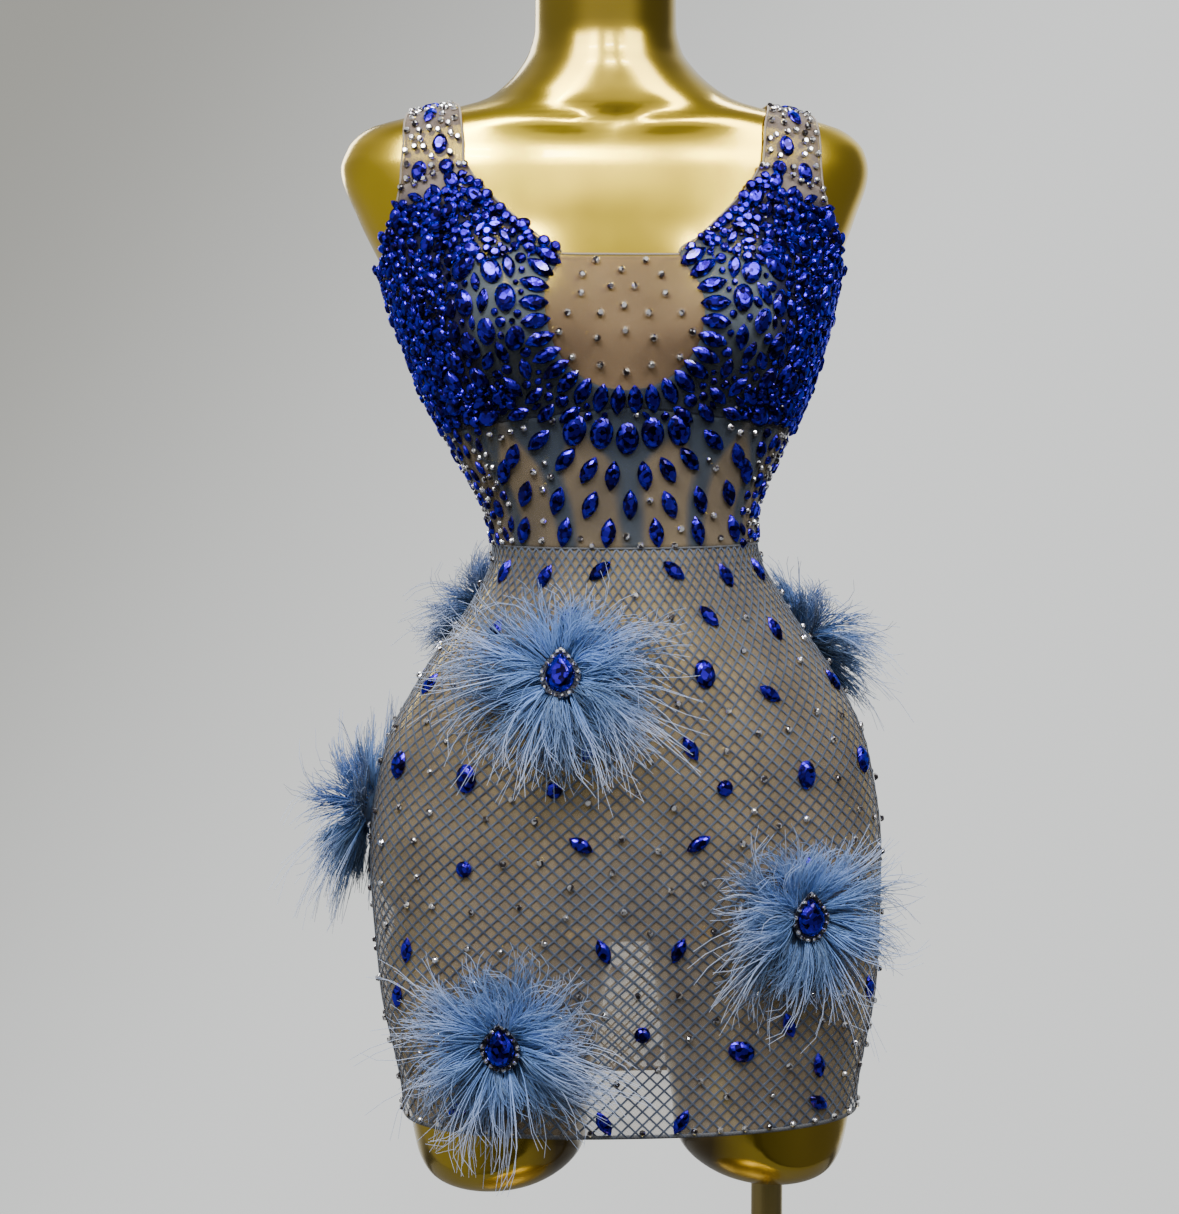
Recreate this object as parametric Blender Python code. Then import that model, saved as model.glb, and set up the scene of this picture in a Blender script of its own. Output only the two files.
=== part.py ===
"""Short stage dress of stretch net with jewelled bust panels and ostrich feather rosettes,
on the limbless gilt display form that carries it. Metres, +Z up, the front faces -Y."""

import random
from collections import namedtuple
from math import asin, ceil, copysign, cos, exp, pi, radians, sin, sqrt

import bmesh
import bpy
from mathutils import Matrix, Vector
from mathutils.bvhtree import BVHTree

# Cloth
EASE = 0.0022  # between the form and the cloth
WALL = 0.0015  # net, interlining and glue together
SEAM_GAP = 0.0003
HEM_HEIGHT = 0.354
WAIST_SEAM = 0.782
HALF_COLUMNS = 8  # columns from the centre line to a side seam
SKIRT_ROWS = 18
MIDRIFF_ROWS = 5

# Body sections. The cloth is cut to them, and the form fills them
Section = namedtuple("Section", "height centre half_width front back squareness")
SECTIONS = (
    Section(0.354, 0.003, 0.1690, 0.093, 0.099, 2.40),
    Section(0.453, 0.002, 0.1850, 0.098, 0.110, 2.30),
    Section(0.549, 0.000, 0.1895, 0.102, 0.126, 2.25),
    Section(0.625, 0.000, 0.1790, 0.101, 0.124, 2.20),
    Section(0.682, 0.001, 0.1520, 0.095, 0.107, 2.15),
    Section(0.739, 0.001, 0.1130, 0.084, 0.085, 2.10),
    Section(0.776, -0.001, 0.0960, 0.078, 0.075, 2.10),
    Section(0.800, -0.004, 0.0975, 0.076, 0.074, 2.15),
    Section(0.851, -0.007, 0.1190, 0.078, 0.080, 2.25),
    Section(0.900, -0.009, 0.1420, 0.084, 0.088, 2.35),
    Section(0.944, -0.011, 0.1560, 0.089, 0.092, 2.45),
    Section(0.980, -0.013, 0.1660, 0.088, 0.091, 2.50),
    Section(1.020, -0.015, 0.1830, 0.082, 0.086, 2.50),
    Section(1.056, -0.016, 0.1945, 0.073, 0.078, 2.45),
    Section(1.0715, -0.015, 0.1900, 0.068, 0.073, 2.40),
    Section(1.085, -0.015, 0.1760, 0.065, 0.070, 2.35),
    Section(1.0925, -0.014, 0.1530, 0.064, 0.069, 2.25),
    Section(1.0995, -0.013, 0.1200, 0.064, 0.068, 2.15),
    Section(1.107, -0.013, 0.0930, 0.063, 0.067, 2.10),
    Section(1.1165, -0.014, 0.0780, 0.061, 0.066, 2.05),
    Section(1.1285, -0.015, 0.0655, 0.058, 0.064, 2.00),
    Section(1.143, -0.016, 0.0560, 0.053, 0.061, 2.00),
    Section(1.160, -0.016, 0.0520, 0.049, 0.058, 2.00),
    Section(1.212, -0.016, 0.0515, 0.047, 0.057, 2.00),
)
SHOULDER_LOW, SHOULDER_HIGH = 1.056, 1.130  # the half width only shrinks between them

# Bust darts, and the cloth drawn tight between the two cups
CUP_OUT, CUP_HEIGHT = 0.088, 0.945
CUP_RISE, CUP_WIDTH, CUP_TALL = 0.030, 0.050, 0.048
BRIDGE_RISE, BRIDGE_WIDTH, BRIDGE_TALL = 0.009, 0.034, 0.060

# Round centre inset between the bust panels
INSET_RADIUS, INSET_HEIGHT = 0.057, 0.9535
NECKLINE_LOW = 0.992
INSET_COLUMNS = 4  # each side of the centre line
INSET_TURNS = (0, 18, 36, 54, 72, 90, 108)  # degrees up the round edge from its foot

# Rows of a half panel, each from its inner edge to its outer one. No outer_x means the side seam
Row = namedtuple("Row", "inner_x inner_z outer_x outer_z")
BUST_COLUMNS = 12
BUST_FOOT = Row(0.0, 0.8840, None, 0.860)
BUST_SIDE_HEIGHTS = (0.872, 0.884, 0.896, 0.908, 0.920, 0.933, 0.947)
BUST_TOP = (
    Row(0.042, 0.992, None, 0.962),
    Row(0.056, 1.003, None, 0.978),
    Row(0.070, 1.0155, 0.1645, 0.994),
    Row(0.084, 1.029, 0.1610, 1.010),
    Row(0.097, 1.043, 0.1550, 1.025),
    Row(0.105, 1.056, 0.1510, 1.040),
)
BACK_ROWS = (
    Row(0.0, 0.782, None, 0.782),
    Row(0.0, 0.800, None, 0.800),
    Row(0.0, 0.819, None, 0.819),
    Row(0.0, 0.839, None, 0.839),
    Row(0.0, 0.860, None, 0.860),
    Row(0.0, 0.883, None, 0.883),
    Row(0.0, 0.907, None, 0.907),
    Row(0.0, 0.932, None, 0.932),
    Row(0.0, 0.955, None, 0.956),
    Row(0.030, 0.963, None, 0.978),
    Row(0.058, 0.978, 0.1645, 0.994),
    Row(0.082, 0.998, 0.1580, 1.008),
    Row(0.100, 1.018, 0.1530, 1.022),
    Row(0.108, 1.034, 0.1510, 1.036),
)
STRAP_TOP_IN, STRAP_OUT = 0.1150, 0.1460  # the strap's edges at the shoulder's ridge
STRAP_COLUMNS, STRAP_ROWS = 3, 5  # rows from each end to the ridge
STRAP_CLIMB = 0.2  # the share of them that climbs before the strap turns over the ridge
STRAP_EVEN = 1.6  # spreads the other rows evenly over the turn

# Large stones, in rows across the front and the back. Each stands on both sides of the centre line
Stone = namedtuple("Stone", "height out kind tilt")
STONE_SIZES = {"oval": (0.0200, 0.0145), "marquise": (0.0180, 0.0090), "round": (0.0120, 0.0120)}
STONE_RISE, STONE_SINK = 0.0030, 0.0006
STONE_TABLE = 0.45  # the flat top's share of the width
MIDRIFF_STONES = (
    Stone(0.862, 0.000, "oval", 0),
    Stone(0.866, 0.018, "oval", 8),
    Stone(0.868, 0.037, "oval", 16),
    Stone(0.861, 0.062, "marquise", 48),
    Stone(0.849, 0.080, "marquise", 25),
    Stone(0.847, 0.044, "marquise", 40),
    Stone(0.839, 0.028, "marquise", 30),
    Stone(0.835, 0.0115, "marquise", 10),
    Stone(0.838, 0.086, "marquise", 20),
    Stone(0.814, 0.000, "marquise", 0),
    Stone(0.814, 0.028, "marquise", 24),
    Stone(0.817, 0.0505, "marquise", 18),
    Stone(0.822, 0.072, "marquise", 24),
    Stone(0.7935, 0.017, "marquise", 8),
    Stone(0.794, 0.047, "marquise", 12),
    Stone(0.795, 0.074, "marquise", 20),
)
SKIRT_STONES = (
    Stone(0.758, 0.026, "marquise", 50),
    Stone(0.754, 0.068, "marquise", 25),
    Stone(0.726, 0.054, "marquise", 40),
    Stone(0.716, 0.104, "oval", 20),
    Stone(0.682, 0.050, "round", 0),
    Stone(0.668, 0.098, "marquise", 55),
    Stone(0.627, 0.038, "marquise", 30),
    Stone(0.598, 0.063, "round", 0),
    Stone(0.603, 0.122, "oval", 0),
    Stone(0.556, 0.042, "marquise", 60),
    Stone(0.541, 0.124, "round", 0),
    Stone(0.482, 0.027, "marquise", 25),
    Stone(0.478, 0.165, "marquise", 10),
    Stone(0.420, 0.000, "round", 0),
    Stone(0.409, 0.072, "oval", 70),
    Stone(0.424, 0.108, "marquise", 20),
    Stone(0.4005, 0.131, "marquise", 10),
    Stone(0.366, 0.028, "marquise", 30),
)
BACK_STONES = tuple(stone for stone in MIDRIFF_STONES if stone.out in (0.0, 0.028, 0.0505, 0.074))

# Feather rosettes: where each sits, as a turn from the centre front and a height, and its reach
Rosette = namedtuple("Rosette", "name turn height reach")
ROSETTES = (
    Rosette("waist_front", -20, 0.691, 0.100),
    Rosette("hem_right", 35, 0.517, 0.094),
    Rosette("hem_left", -29, 0.427, 0.092),
    Rosette("hip_left", -103, 0.578, 0.084),
    Rosette("hip_right_back", 113, 0.700, 0.070),
    Rosette("waist_left_back", -132, 0.722, 0.066),
)
Ring = namedtuple("Ring", "radius height")
BUTTON = (Ring(0.0155, 0.0), Ring(0.0170, 0.0035), Ring(0.0162, 0.0072), Ring(0.0140, 0.0110))
STEM = (Ring(0.0080, 0.0116), Ring(0.0075, 0.0172))  # on the button, through the locks to the jewel
LockRow = namedtuple("LockRow", "lift reach width")  # lift in degrees, width against the root
LOCK_ROWS = (LockRow(20, 1.00, 2.0), LockRow(36, 0.90, 1.8), LockRow(46, 0.72, 1.2))
LOCKS_ROUND = 13  # in each row, one for each side of the button
LOCK_WAIST, LOCK_BELLY = 0.48, 1.1  # where a lock is widest along it, and how thick against its root
LOCK_SAG = 1.1  # metres of fall for each metre of reach, squared
LOCK_CLEAR = 0.0105
SHORT_ABOVE = 0.20  # how much shorter a lock is that points up

# Drop-shaped jewel in the middle of each rosette, on a plate that carries its rim of small stones
JEWEL_HEIGHT, JEWEL_WIDTH = 0.0275, 0.0205
PLATE_MARGIN, PLATE_THICKNESS, JEWEL_RISE = 0.0045, 0.0022, 0.0060
JEWEL_SIDES = 14

# Display form below the skirt, pole and base
CROTCH_HEIGHT = 0.487
FORM_STEP, FORM_SIDES = 0.024, 32
THIGH_SIDES = 20
Thigh = namedtuple("Thigh", "height out half_width front back")
THIGHS = (
    Thigh(0.520, 0.092, 0.0800, 0.086, 0.098),
    Thigh(0.482, 0.098, 0.0850, 0.094, 0.104),
    Thigh(0.440, 0.101, 0.0805, 0.094, 0.102),
    Thigh(0.400, 0.101, 0.0760, 0.092, 0.099),
    Thigh(0.360, 0.100, 0.0680, 0.088, 0.094),
    Thigh(0.335, 0.099, 0.0645, 0.083, 0.089),
    Thigh(0.320, 0.101, 0.0585, 0.074, 0.080),
    Thigh(0.308, 0.105, 0.0470, 0.060, 0.065),
    Thigh(0.301, 0.108, 0.0320, 0.041, 0.045),
    Thigh(0.297, 0.110, 0.0140, 0.018, 0.020),
)
THIGH_CENTRE = 0.003
THIGH_SINK = 0.0015  # a thigh stays this far inside the torso's surface
POLE_OUT, POLE_BACK, POLE_RADIUS, POLE_SIDES = 0.1055, 0.004, 0.012, 24
SOCKET_TOP = 0.372
BASE_RADIUS, BASE_THICKNESS, BASE_BEVEL, BASE_SIDES = 0.170, 0.008, 0.002, 56
BOSS_RADIUS, BOSS_HEIGHT = 0.021, 0.030
BOSS_SINK = 0.003

FABRIC_NUDE = ("nude net", (0.62, 0.47, 0.36, 1), 0.75, 0.0)
FABRIC_BLUE = ("grey-blue net", (0.34, 0.40, 0.46, 1), 0.75, 0.0)
FABRIC_SKIRT = ("nude net under blue fishnet", (0.36, 0.34, 0.33, 1), 0.8, 0.0)
FEATHER_BLUE = ("dyed ostrich feather", (0.30, 0.45, 0.66, 1), 0.85, 0.0)
STONE_BLUE = ("royal blue glass", (0.01, 0.01, 0.45, 1), 0.1, 0.0)
GILT = ("gilt lacquer", (0.75, 0.56, 0.20, 1), 0.22, 1.0)


def clear_scene():
    for thing in list(bpy.data.objects):
        bpy.data.objects.remove(thing)


def collection_for(name):
    made = bpy.data.collections.new(name)
    bpy.context.scene.collection.children.link(made)
    return made


def material_for(look):
    name, colour, roughness, metallic = look
    material = bpy.data.materials.get(name)
    if material is None:
        material = bpy.data.materials.new(name)
        material.use_nodes = True
        shader = material.node_tree.nodes["Principled BSDF"]
        shader.inputs["Base Color"].default_value = colour
        shader.inputs["Roughness"].default_value = roughness
        shader.inputs["Metallic"].default_value = metallic
    return material


def add_object(name, bm, look, collection):
    """A closed bmesh as an object, with its faces turned outwards."""
    bmesh.ops.recalc_face_normals(bm, faces=bm.faces)
    if bm.calc_volume(signed=True) < 0:
        bmesh.ops.reverse_faces(bm, faces=bm.faces)
    mesh = bpy.data.meshes.new(name)
    bm.to_mesh(mesh)
    bm.free()
    made = bpy.data.objects.new(name, mesh)
    mesh.materials.append(material_for(look))
    collection.objects.link(made)
    return made


def as_helper(thing):
    thing.hide_render = True
    thing.display_type = "WIRE"
    return thing


def combine(thing, helper, operation):
    modifier = thing.modifiers.new(helper.name, "BOOLEAN")
    modifier.operation = operation
    modifier.object = as_helper(helper)


def mix(a, b, share):
    return a + (b - a) * share


def slope_at(index, column):
    """Tangent of a column of SECTIONS, flat where the column turns round."""
    if index in (0, len(SECTIONS) - 1):
        return 0.0
    before, here, after = SECTIONS[index - 1 : index + 2]
    below = (here[column] - before[column]) / (here.height - before.height)
    above = (after[column] - here[column]) / (after.height - here.height)
    if below * above <= 0:
        return 0.0
    return 2 * below * above / (below + above)


def section_at(z):
    """The section at a height, on smooth curves through SECTIONS."""
    z = min(max(z, SECTIONS[0].height), SECTIONS[-1].height)
    index = max(i for i, s in enumerate(SECTIONS[:-1]) if s.height <= z)
    low, high = SECTIONS[index], SECTIONS[index + 1]
    span = high.height - low.height
    t = (z - low.height) / span
    values = [z]
    for column in range(1, len(low)):
        values.append(
            (2 * t**3 - 3 * t**2 + 1) * low[column]
            + (t**3 - 2 * t**2 + t) * span * slope_at(index, column)
            + (3 * t**2 - 2 * t**3) * high[column]
            + (t**3 - t**2) * span * slope_at(index + 1, column)
        )
    return Section(*values)


def bell(value, width):
    return exp(-((value / width) ** 2))


def body_point(z, turn, bridged):
    """A point of the body, turned from the centre front towards +X. bridged draws cloth across the cups."""
    s = section_at(z)
    power = 2 / s.squareness
    x = copysign(abs(sin(turn)) ** power, sin(turn)) * s.half_width
    forward = copysign(abs(cos(turn)) ** power, cos(turn))
    y = -forward * (s.front if forward > 0 else s.back)
    if forward > 0:
        cup = CUP_RISE * bell(abs(x) - CUP_OUT, CUP_WIDTH) * bell(z - CUP_HEIGHT, CUP_TALL)
        bridge = BRIDGE_RISE * bell(x, BRIDGE_WIDTH) * bell(z - CUP_HEIGHT, BRIDGE_TALL)
        y -= forward * (cup + (bridge if bridged else 0))
    return Vector((s.centre + x, y, z))


def turn_for(x, z):
    """The turn at which the section at z is x from its middle, on the front."""
    s = section_at(z)
    return asin(min(abs(x) / s.half_width, 1.0) ** (s.squareness / 2))


def body_normal(z, turn):
    step = 0.002
    around = body_point(z, turn + step, True) - body_point(z, turn - step, True)
    upward = body_point(z + step, turn, True) - body_point(z - step, turn, True)
    return around.cross(upward).normalized()


def cloth_point(z, turn, out=0.0):
    """A point of the cloth's inner face, or moved out from it."""
    return body_point(z, turn, True) + body_normal(z, turn) * (EASE + out)


def ridge_height(x, turn):
    """The height at which the shoulder is x from the middle at this turn."""
    low, high = SHOULDER_LOW, SHOULDER_HIGH
    for _ in range(40):
        middle = (low + high) / 2
        s = section_at(middle)
        if s.half_width * sin(turn) ** (2 / s.squareness) > x:
            low = middle
        else:
            high = middle
    return low


def round_to(turn, side, back):
    """Takes a turn on the front right quarter to the quarter that is asked for."""
    return side * (pi - turn if back else turn)


def row_place(row, u, side, back):
    """Height and turn u of the way along a panel row, with half a seam's gap left at the side seam."""
    inner = turn_for(row.inner_x, row.inner_z)
    if row.outer_x is None:
        s = section_at(row.outer_z)
        gap = SEAM_GAP / 2 / (s.back if back else s.front)
        outer = pi / 2 - gap ** (s.squareness / 2)
    else:
        outer = turn_for(row.outer_x, row.outer_z)
    return mix(row.inner_z, row.outer_z, u), round_to(mix(inner, outer, u), side, back)


def fine_rows(low, high, count):
    """Rows in even steps between two."""
    return [Row(0.0, mix(low[1], high[1], i / count), None, mix(low[3], high[3], i / count)) for i in range(count + 1)]


def circle(radius, sides, z):
    return [Vector((radius * cos(2 * pi * i / sides), radius * sin(2 * pi * i / sides), z)) for i in range(sides)]


def loft(bm, rings):
    """Bridges rings of points, each a list in the same order, and closes both ends."""
    loops = []
    for points in rings:
        ring = bmesh.ops.create_circle(bm, segments=len(points), radius=1)["verts"]
        for vertex, point in zip(ring, points):
            vertex.co = point
        loops.append({edge for vertex in ring for edge in vertex.link_edges})
    for lower, upper in zip(loops, loops[1:]):
        bmesh.ops.bridge_loops(bm, edges=list(lower | upper))
    for end in (loops[0], loops[-1]):
        bmesh.ops.contextual_create(bm, geom=list(end))


def add_grid(bm, columns, rows, place):
    """A grid of cloth faces. place(u, v) gives each point's height and turn."""
    outward = bm.verts.layers.float_vector.get("outward") or bm.verts.layers.float_vector.new("outward")
    for vertex in bmesh.ops.create_grid(bm, x_segments=columns, y_segments=rows, size=0.5)["verts"]:
        height, turn = place(vertex.co.x + 0.5, vertex.co.y + 0.5)
        vertex.co = cloth_point(height, turn)
        vertex[outward] = body_normal(height, turn)


def add_half_panel(bm, rows, columns, side, back):
    last = len(rows) - 1
    add_grid(bm, columns, last, lambda u, v: row_place(rows[round(v * last)], u, side, back))


def thicken(bm, thickness=WALL):
    """Gives the open cloth its wall. Returns the outer faces."""
    outward = bm.verts.layers.float_vector.get("outward")
    bmesh.ops.remove_doubles(bm, verts=bm.verts, dist=0.00005)
    bmesh.ops.dissolve_degenerate(bm, edges=bm.edges, dist=0.00005)
    bmesh.ops.recalc_face_normals(bm, faces=bm.faces)
    copies = bmesh.ops.extrude_face_region(bm, geom=list(bm.faces), use_keep_orig=True)["geom"]
    for vertex in (item for item in copies if isinstance(item, bmesh.types.BMVert)):
        vertex.co += vertex[outward] * thickness
    return [item for item in copies if isinstance(item, bmesh.types.BMFace)]


def stone_frame(z, x, side, back, tilt):
    """Where a stone sits: x across, y up the cloth and z out of it."""
    turn = round_to(turn_for(x, z), side, back)
    out = body_normal(z, turn)
    across = Vector((0, 0, 1)).cross(out).normalized()
    up = out.cross(across)
    lean = radians(tilt) * side * (-1 if back else 1)
    turned = Matrix((across, up, out)).transposed() @ Matrix.Rotation(lean, 3, "Z")
    return Matrix.Translation(cloth_point(z, turn, WALL)) @ turned.to_4x4()


def surface_of(*panels):
    """The panels' faces, to find places on."""
    bm = bmesh.new()
    for panel in panels:
        bm.from_mesh(panel.data)
    surface = BVHTree.FromBMesh(bm)
    bm.free()
    return surface


def laid_on(frame, surface):
    """The frame, laid flat on the facet nearest to it."""
    place, facing = surface.find_nearest(frame.translation)[:2]
    turned = frame.to_3x3()
    tip = turned.col[2].rotation_difference(facing)
    return Matrix.Translation(place) @ (tip.to_matrix() @ turned).to_4x4()


def add_stones(panel, stones, back, collection):
    """Large stones fused to the outer face of a panel, with flat tables and sloping crowns."""
    surface = surface_of(panel)
    bm = bmesh.new()
    for stone in stones:
        for side in (1, -1) if stone.out else (1,):
            if near_rosette(stone, side, back):
                continue
            length, width = STONE_SIZES[stone.kind]
            frame = laid_on(stone_frame(stone.height, stone.out, side, back, stone.tilt), surface)
            size = Matrix.Diagonal((width / 2, length / 2, 1, 1))
            rise = Matrix.Translation((0, 0, (STONE_RISE - STONE_SINK) / 2))
            bmesh.ops.create_cone(
                bm,
                cap_ends=True,
                segments=4 if stone.kind == "marquise" else 6,
                radius1=1,
                radius2=STONE_TABLE,
                depth=STONE_RISE + STONE_SINK,
                matrix=frame @ rise @ size,
            )
    helper = add_object(f"{panel.name}_stones", bm, STONE_BLUE, collection)
    combine(panel, helper, "UNION")


def rosette_frame(rosette):
    """Where a rosette sits: x across, y up the cloth and z out of it."""
    turn = radians(rosette.turn)
    out = body_normal(rosette.height, turn)
    across = Vector((0, 0, 1)).cross(out).normalized()
    turned = Matrix((across, out.cross(across), out)).transposed()
    return Matrix.Translation(cloth_point(rosette.height, turn, WALL)) @ turned.to_4x4()


def seated(frame, surface):
    """The frame, moved in or out until a button on it just clears the cloth."""
    out = frame.col[2].xyz
    highest = -1.0
    for index in range(60):
        reach = BUTTON[0].radius * (index % 5) / 4
        spot = frame @ Vector((reach * cos(index * pi / 12), reach * sin(index * pi / 12), 0.02))
        place = surface.ray_cast(spot, -out)[0]
        if place:
            highest = max(highest, (place - frame.translation).dot(out))
    return Matrix.Translation(out * (highest + SEAM_GAP)) @ frame


def near_rosette(stone, side, back):
    """Whether a rosette's button would stand on this stone."""
    place = stone_frame(stone.height, stone.out, side, back, 0).translation
    return any((rosette_frame(r).translation - place).length < BUTTON[1].radius + 0.011 for r in ROSETTES)


def share_of_section(point):
    """How far out the point is: 1 on the body's surface."""
    s = section_at(point.z)
    depth = s.back if point.y > 0 else s.front
    out = abs(point.x - s.centre) / s.half_width
    return (out**s.squareness + abs(point.y / depth) ** s.squareness) ** (1 / s.squareness)


def scaled_out(point, least, most):
    """The point, moved level to lie between two distances, in metres, outside the body's surface."""
    middle = Vector((section_at(point.z).centre, 0, point.z))
    away = point - middle
    surface = away.length / share_of_section(point)
    return middle + away * (min(max(away.length, surface + least), surface + most) / away.length)


def lock_point(frame, start, direction, reach, share):
    """A point along a lock of barbs, which sags as it goes out and flattens to the cloth."""
    local = start + direction * reach * share
    local.z = start.z + direction.z * reach * (share - 0.35 * share**2)
    place = frame @ local
    place.z -= LOCK_SAG * (reach * share) ** 2
    return scaled_out(place, EASE + WALL + LOCK_CLEAR, 1.0)


def make_rosette(rosette, frame, collection):
    """Feather locks that all grow out of one button, which is sewn to the cloth."""
    pick = random.Random(rosette.name)
    bm = bmesh.new()
    loft(bm, [circle(ring.radius, LOCKS_ROUND, ring.height) for ring in BUTTON + STEM])
    sides = sorted((f for f in bm.faces if len(f.verts) == 4), key=lambda f: f.calc_center_median().z)
    for index, face in enumerate(sides[: LOCKS_ROUND * len(LOCK_ROWS)]):
        row = LOCK_ROWS[index // LOCKS_ROUND]
        root = face.calc_center_median()
        stagger = pi / LOCKS_ROUND * (index // LOCKS_ROUND % 2)
        flat = Matrix.Rotation(stagger, 3, "Z") @ Vector((root.x, root.y, 0)).normalized()
        reach = rosette.reach * row.reach * pick.uniform(0.88, 1.06) * (1 - SHORT_ABOVE * flat.y)
        direction = flat * cos(radians(row.lift)) + Vector((0, 0, sin(radians(row.lift))))
        belly = bmesh.ops.extrude_discrete_faces(bm, faces=[face])["faces"][0]
        middle = frame.inverted() @ lock_point(frame, root, direction, reach, LOCK_WAIST)
        along = Vector((-flat.y, flat.x, 0))
        for vertex in belly.verts:
            away = vertex.co - root
            vertex.co = middle + away * LOCK_BELLY + along * away.dot(along) * (row.width - LOCK_BELLY)
        tip = bmesh.ops.extrude_discrete_faces(bm, faces=[belly])["faces"][0]
        end = frame.inverted() @ lock_point(frame, root, direction, reach, 1.0)
        bmesh.ops.pointmerge(bm, verts=list(tip.verts), merge_co=end)
    bm.transform(frame)
    return add_object(f"rosette_{rosette.name}", bm, FEATHER_BLUE, collection)


def drop_outline(margin, z):
    """A drop with its point up: round below, drawn to a blunt point above."""
    points = []
    for index in range(JEWEL_SIDES):
        turn = 2 * pi * index / JEWEL_SIDES
        upper = max(cos(turn), 0)
        across = (JEWEL_WIDTH / 2 + margin) * sin(turn) * (1 - 0.42 * upper**2)
        points.append(Vector((across, (JEWEL_HEIGHT / 2 + margin) * (cos(turn) + 0.08 * upper), z)))
    return points


def make_jewel(rosette, frame, collection):
    """A faceted drop on its plate, standing on the rosette's button."""
    foot = STEM[-1].height + SEAM_GAP
    levels = (
        (PLATE_MARGIN, foot),
        (PLATE_MARGIN, foot + PLATE_THICKNESS),
        (0.0, foot + PLATE_THICKNESS + 0.0004),
        (-0.0004, foot + PLATE_THICKNESS + 0.0016),
        (-0.0050, foot + PLATE_THICKNESS + JEWEL_RISE),
    )
    bm = bmesh.new()
    loft(bm, [drop_outline(margin, height) for margin, height in levels])
    bm.transform(frame)
    return add_object(f"jewel_{rosette.name}", bm, STONE_BLUE, collection)


def skirt_heights():
    return [mix(HEM_HEIGHT, WAIST_SEAM - SEAM_GAP / 2, i / SKIRT_ROWS) for i in range(SKIRT_ROWS + 1)]


def make_skirt(name, back, collection, helpers):
    """Front or back skirt panel, hem to waist seam."""
    rows = [Row(0.0, z, None, z) for z in skirt_heights()]
    bm = bmesh.new()
    for side in (1, -1):
        add_half_panel(bm, rows, HALF_COLUMNS, side, back)
    thicken(bm)
    panel = add_object(name, bm, FABRIC_SKIRT, collection)
    add_stones(panel, SKIRT_STONES, back, helpers)
    return panel


def bust_rows(gap):
    """Rows of a bust panel, up the round edge of the inset and then the neckline, moved out by a gap."""
    radius = INSET_RADIUS + gap
    round_edge = [
        Row(max(radius * sin(radians(turn)), gap), INSET_HEIGHT - radius * cos(radians(turn)), None, side_height)
        for turn, side_height in zip(INSET_TURNS, BUST_SIDE_HEIGHTS)
    ]
    top = [row._replace(inner_x=row.inner_x + gap) for row in BUST_TOP]
    return [BUST_FOOT._replace(inner_x=gap), *round_edge, *top]


def make_bust_panel(side, collection):
    """Jewelled bust panel: a facet of relief for each stone of its crust."""
    bm = bmesh.new()
    add_half_panel(bm, bust_rows(SEAM_GAP / 2), BUST_COLUMNS, side, False)
    crust = thicken(bm)
    bmesh.ops.recalc_face_normals(bm, faces=bm.faces)
    bmesh.ops.poke(bm, faces=crust, offset=STONE_RISE, center_mode="MEAN")
    return add_object("bust_panel_right" if side > 0 else "bust_panel_left", bm, STONE_BLUE, collection)


def make_inset(collection):
    """Round nude inset between the bust panels, open to the neckline."""
    edge = [row for row in bust_rows(-SEAM_GAP / 2)[1:] if row.inner_z <= NECKLINE_LOW]
    rows = [Row(0.0, row.inner_z, max(row.inner_x, 0.0), row.inner_z) for row in edge]
    bm = bmesh.new()
    for side in (1, -1):
        add_half_panel(bm, rows, INSET_COLUMNS, side, False)
    thicken(bm)
    return add_object("centre_inset", bm, FABRIC_NUDE, collection)


def make_midriff(collection, helpers):
    """Front midriff, from the waist seam to the foot of the bust panels."""
    low = Row(0.0, WAIST_SEAM + SEAM_GAP / 2, None, WAIST_SEAM + SEAM_GAP / 2)
    high = Row(0.0, BUST_FOOT.inner_z - SEAM_GAP, None, BUST_FOOT.outer_z - SEAM_GAP)
    bm = bmesh.new()
    for side in (1, -1):
        add_half_panel(bm, fine_rows(low, high, MIDRIFF_ROWS), HALF_COLUMNS, side, False)
    thicken(bm)
    panel = add_object("midriff_front", bm, FABRIC_BLUE, collection)
    add_stones(panel, MIDRIFF_STONES, False, helpers)
    return panel


def make_back(collection, helpers):
    """Back bodice, from the waist seam to the scoop and the straps."""
    first = BACK_ROWS[0]._replace(inner_z=WAIST_SEAM + SEAM_GAP / 2, outer_z=WAIST_SEAM + SEAM_GAP / 2)
    bm = bmesh.new()
    for side in (1, -1):
        add_half_panel(bm, [first, *BACK_ROWS[1:]], HALF_COLUMNS, side, True)
    thicken(bm)
    panel = add_object("bodice_back", bm, FABRIC_NUDE, collection)
    add_stones(panel, BACK_STONES, True, helpers)
    return panel


def strap_place(u, v, side):
    """Height and turn on a strap: u from its inner edge out, v from the bust over the ridge to the back."""
    back = v > 0.5
    share = 2 * (1 - v if back else v)
    end, turn = row_place(BACK_ROWS[-1] if back else BUST_TOP[-1], u, 1, False)
    low = end + SEAM_GAP
    s = section_at(end)
    x = mix(s.half_width * sin(turn) ** (2 / s.squareness), mix(STRAP_TOP_IN, STRAP_OUT, u), share)
    if share < STRAP_CLIMB:
        height = mix(low, max(low, SHOULDER_LOW), share / STRAP_CLIMB)
        return height, round_to(turn_for(x, height), side, back)
    lean = ((share - STRAP_CLIMB) / (1 - STRAP_CLIMB)) ** STRAP_EVEN
    turn = mix(turn_for(x, max(low, SHOULDER_LOW)), pi / 2, lean)
    return ridge_height(x, turn), round_to(turn, side, back)


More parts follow.
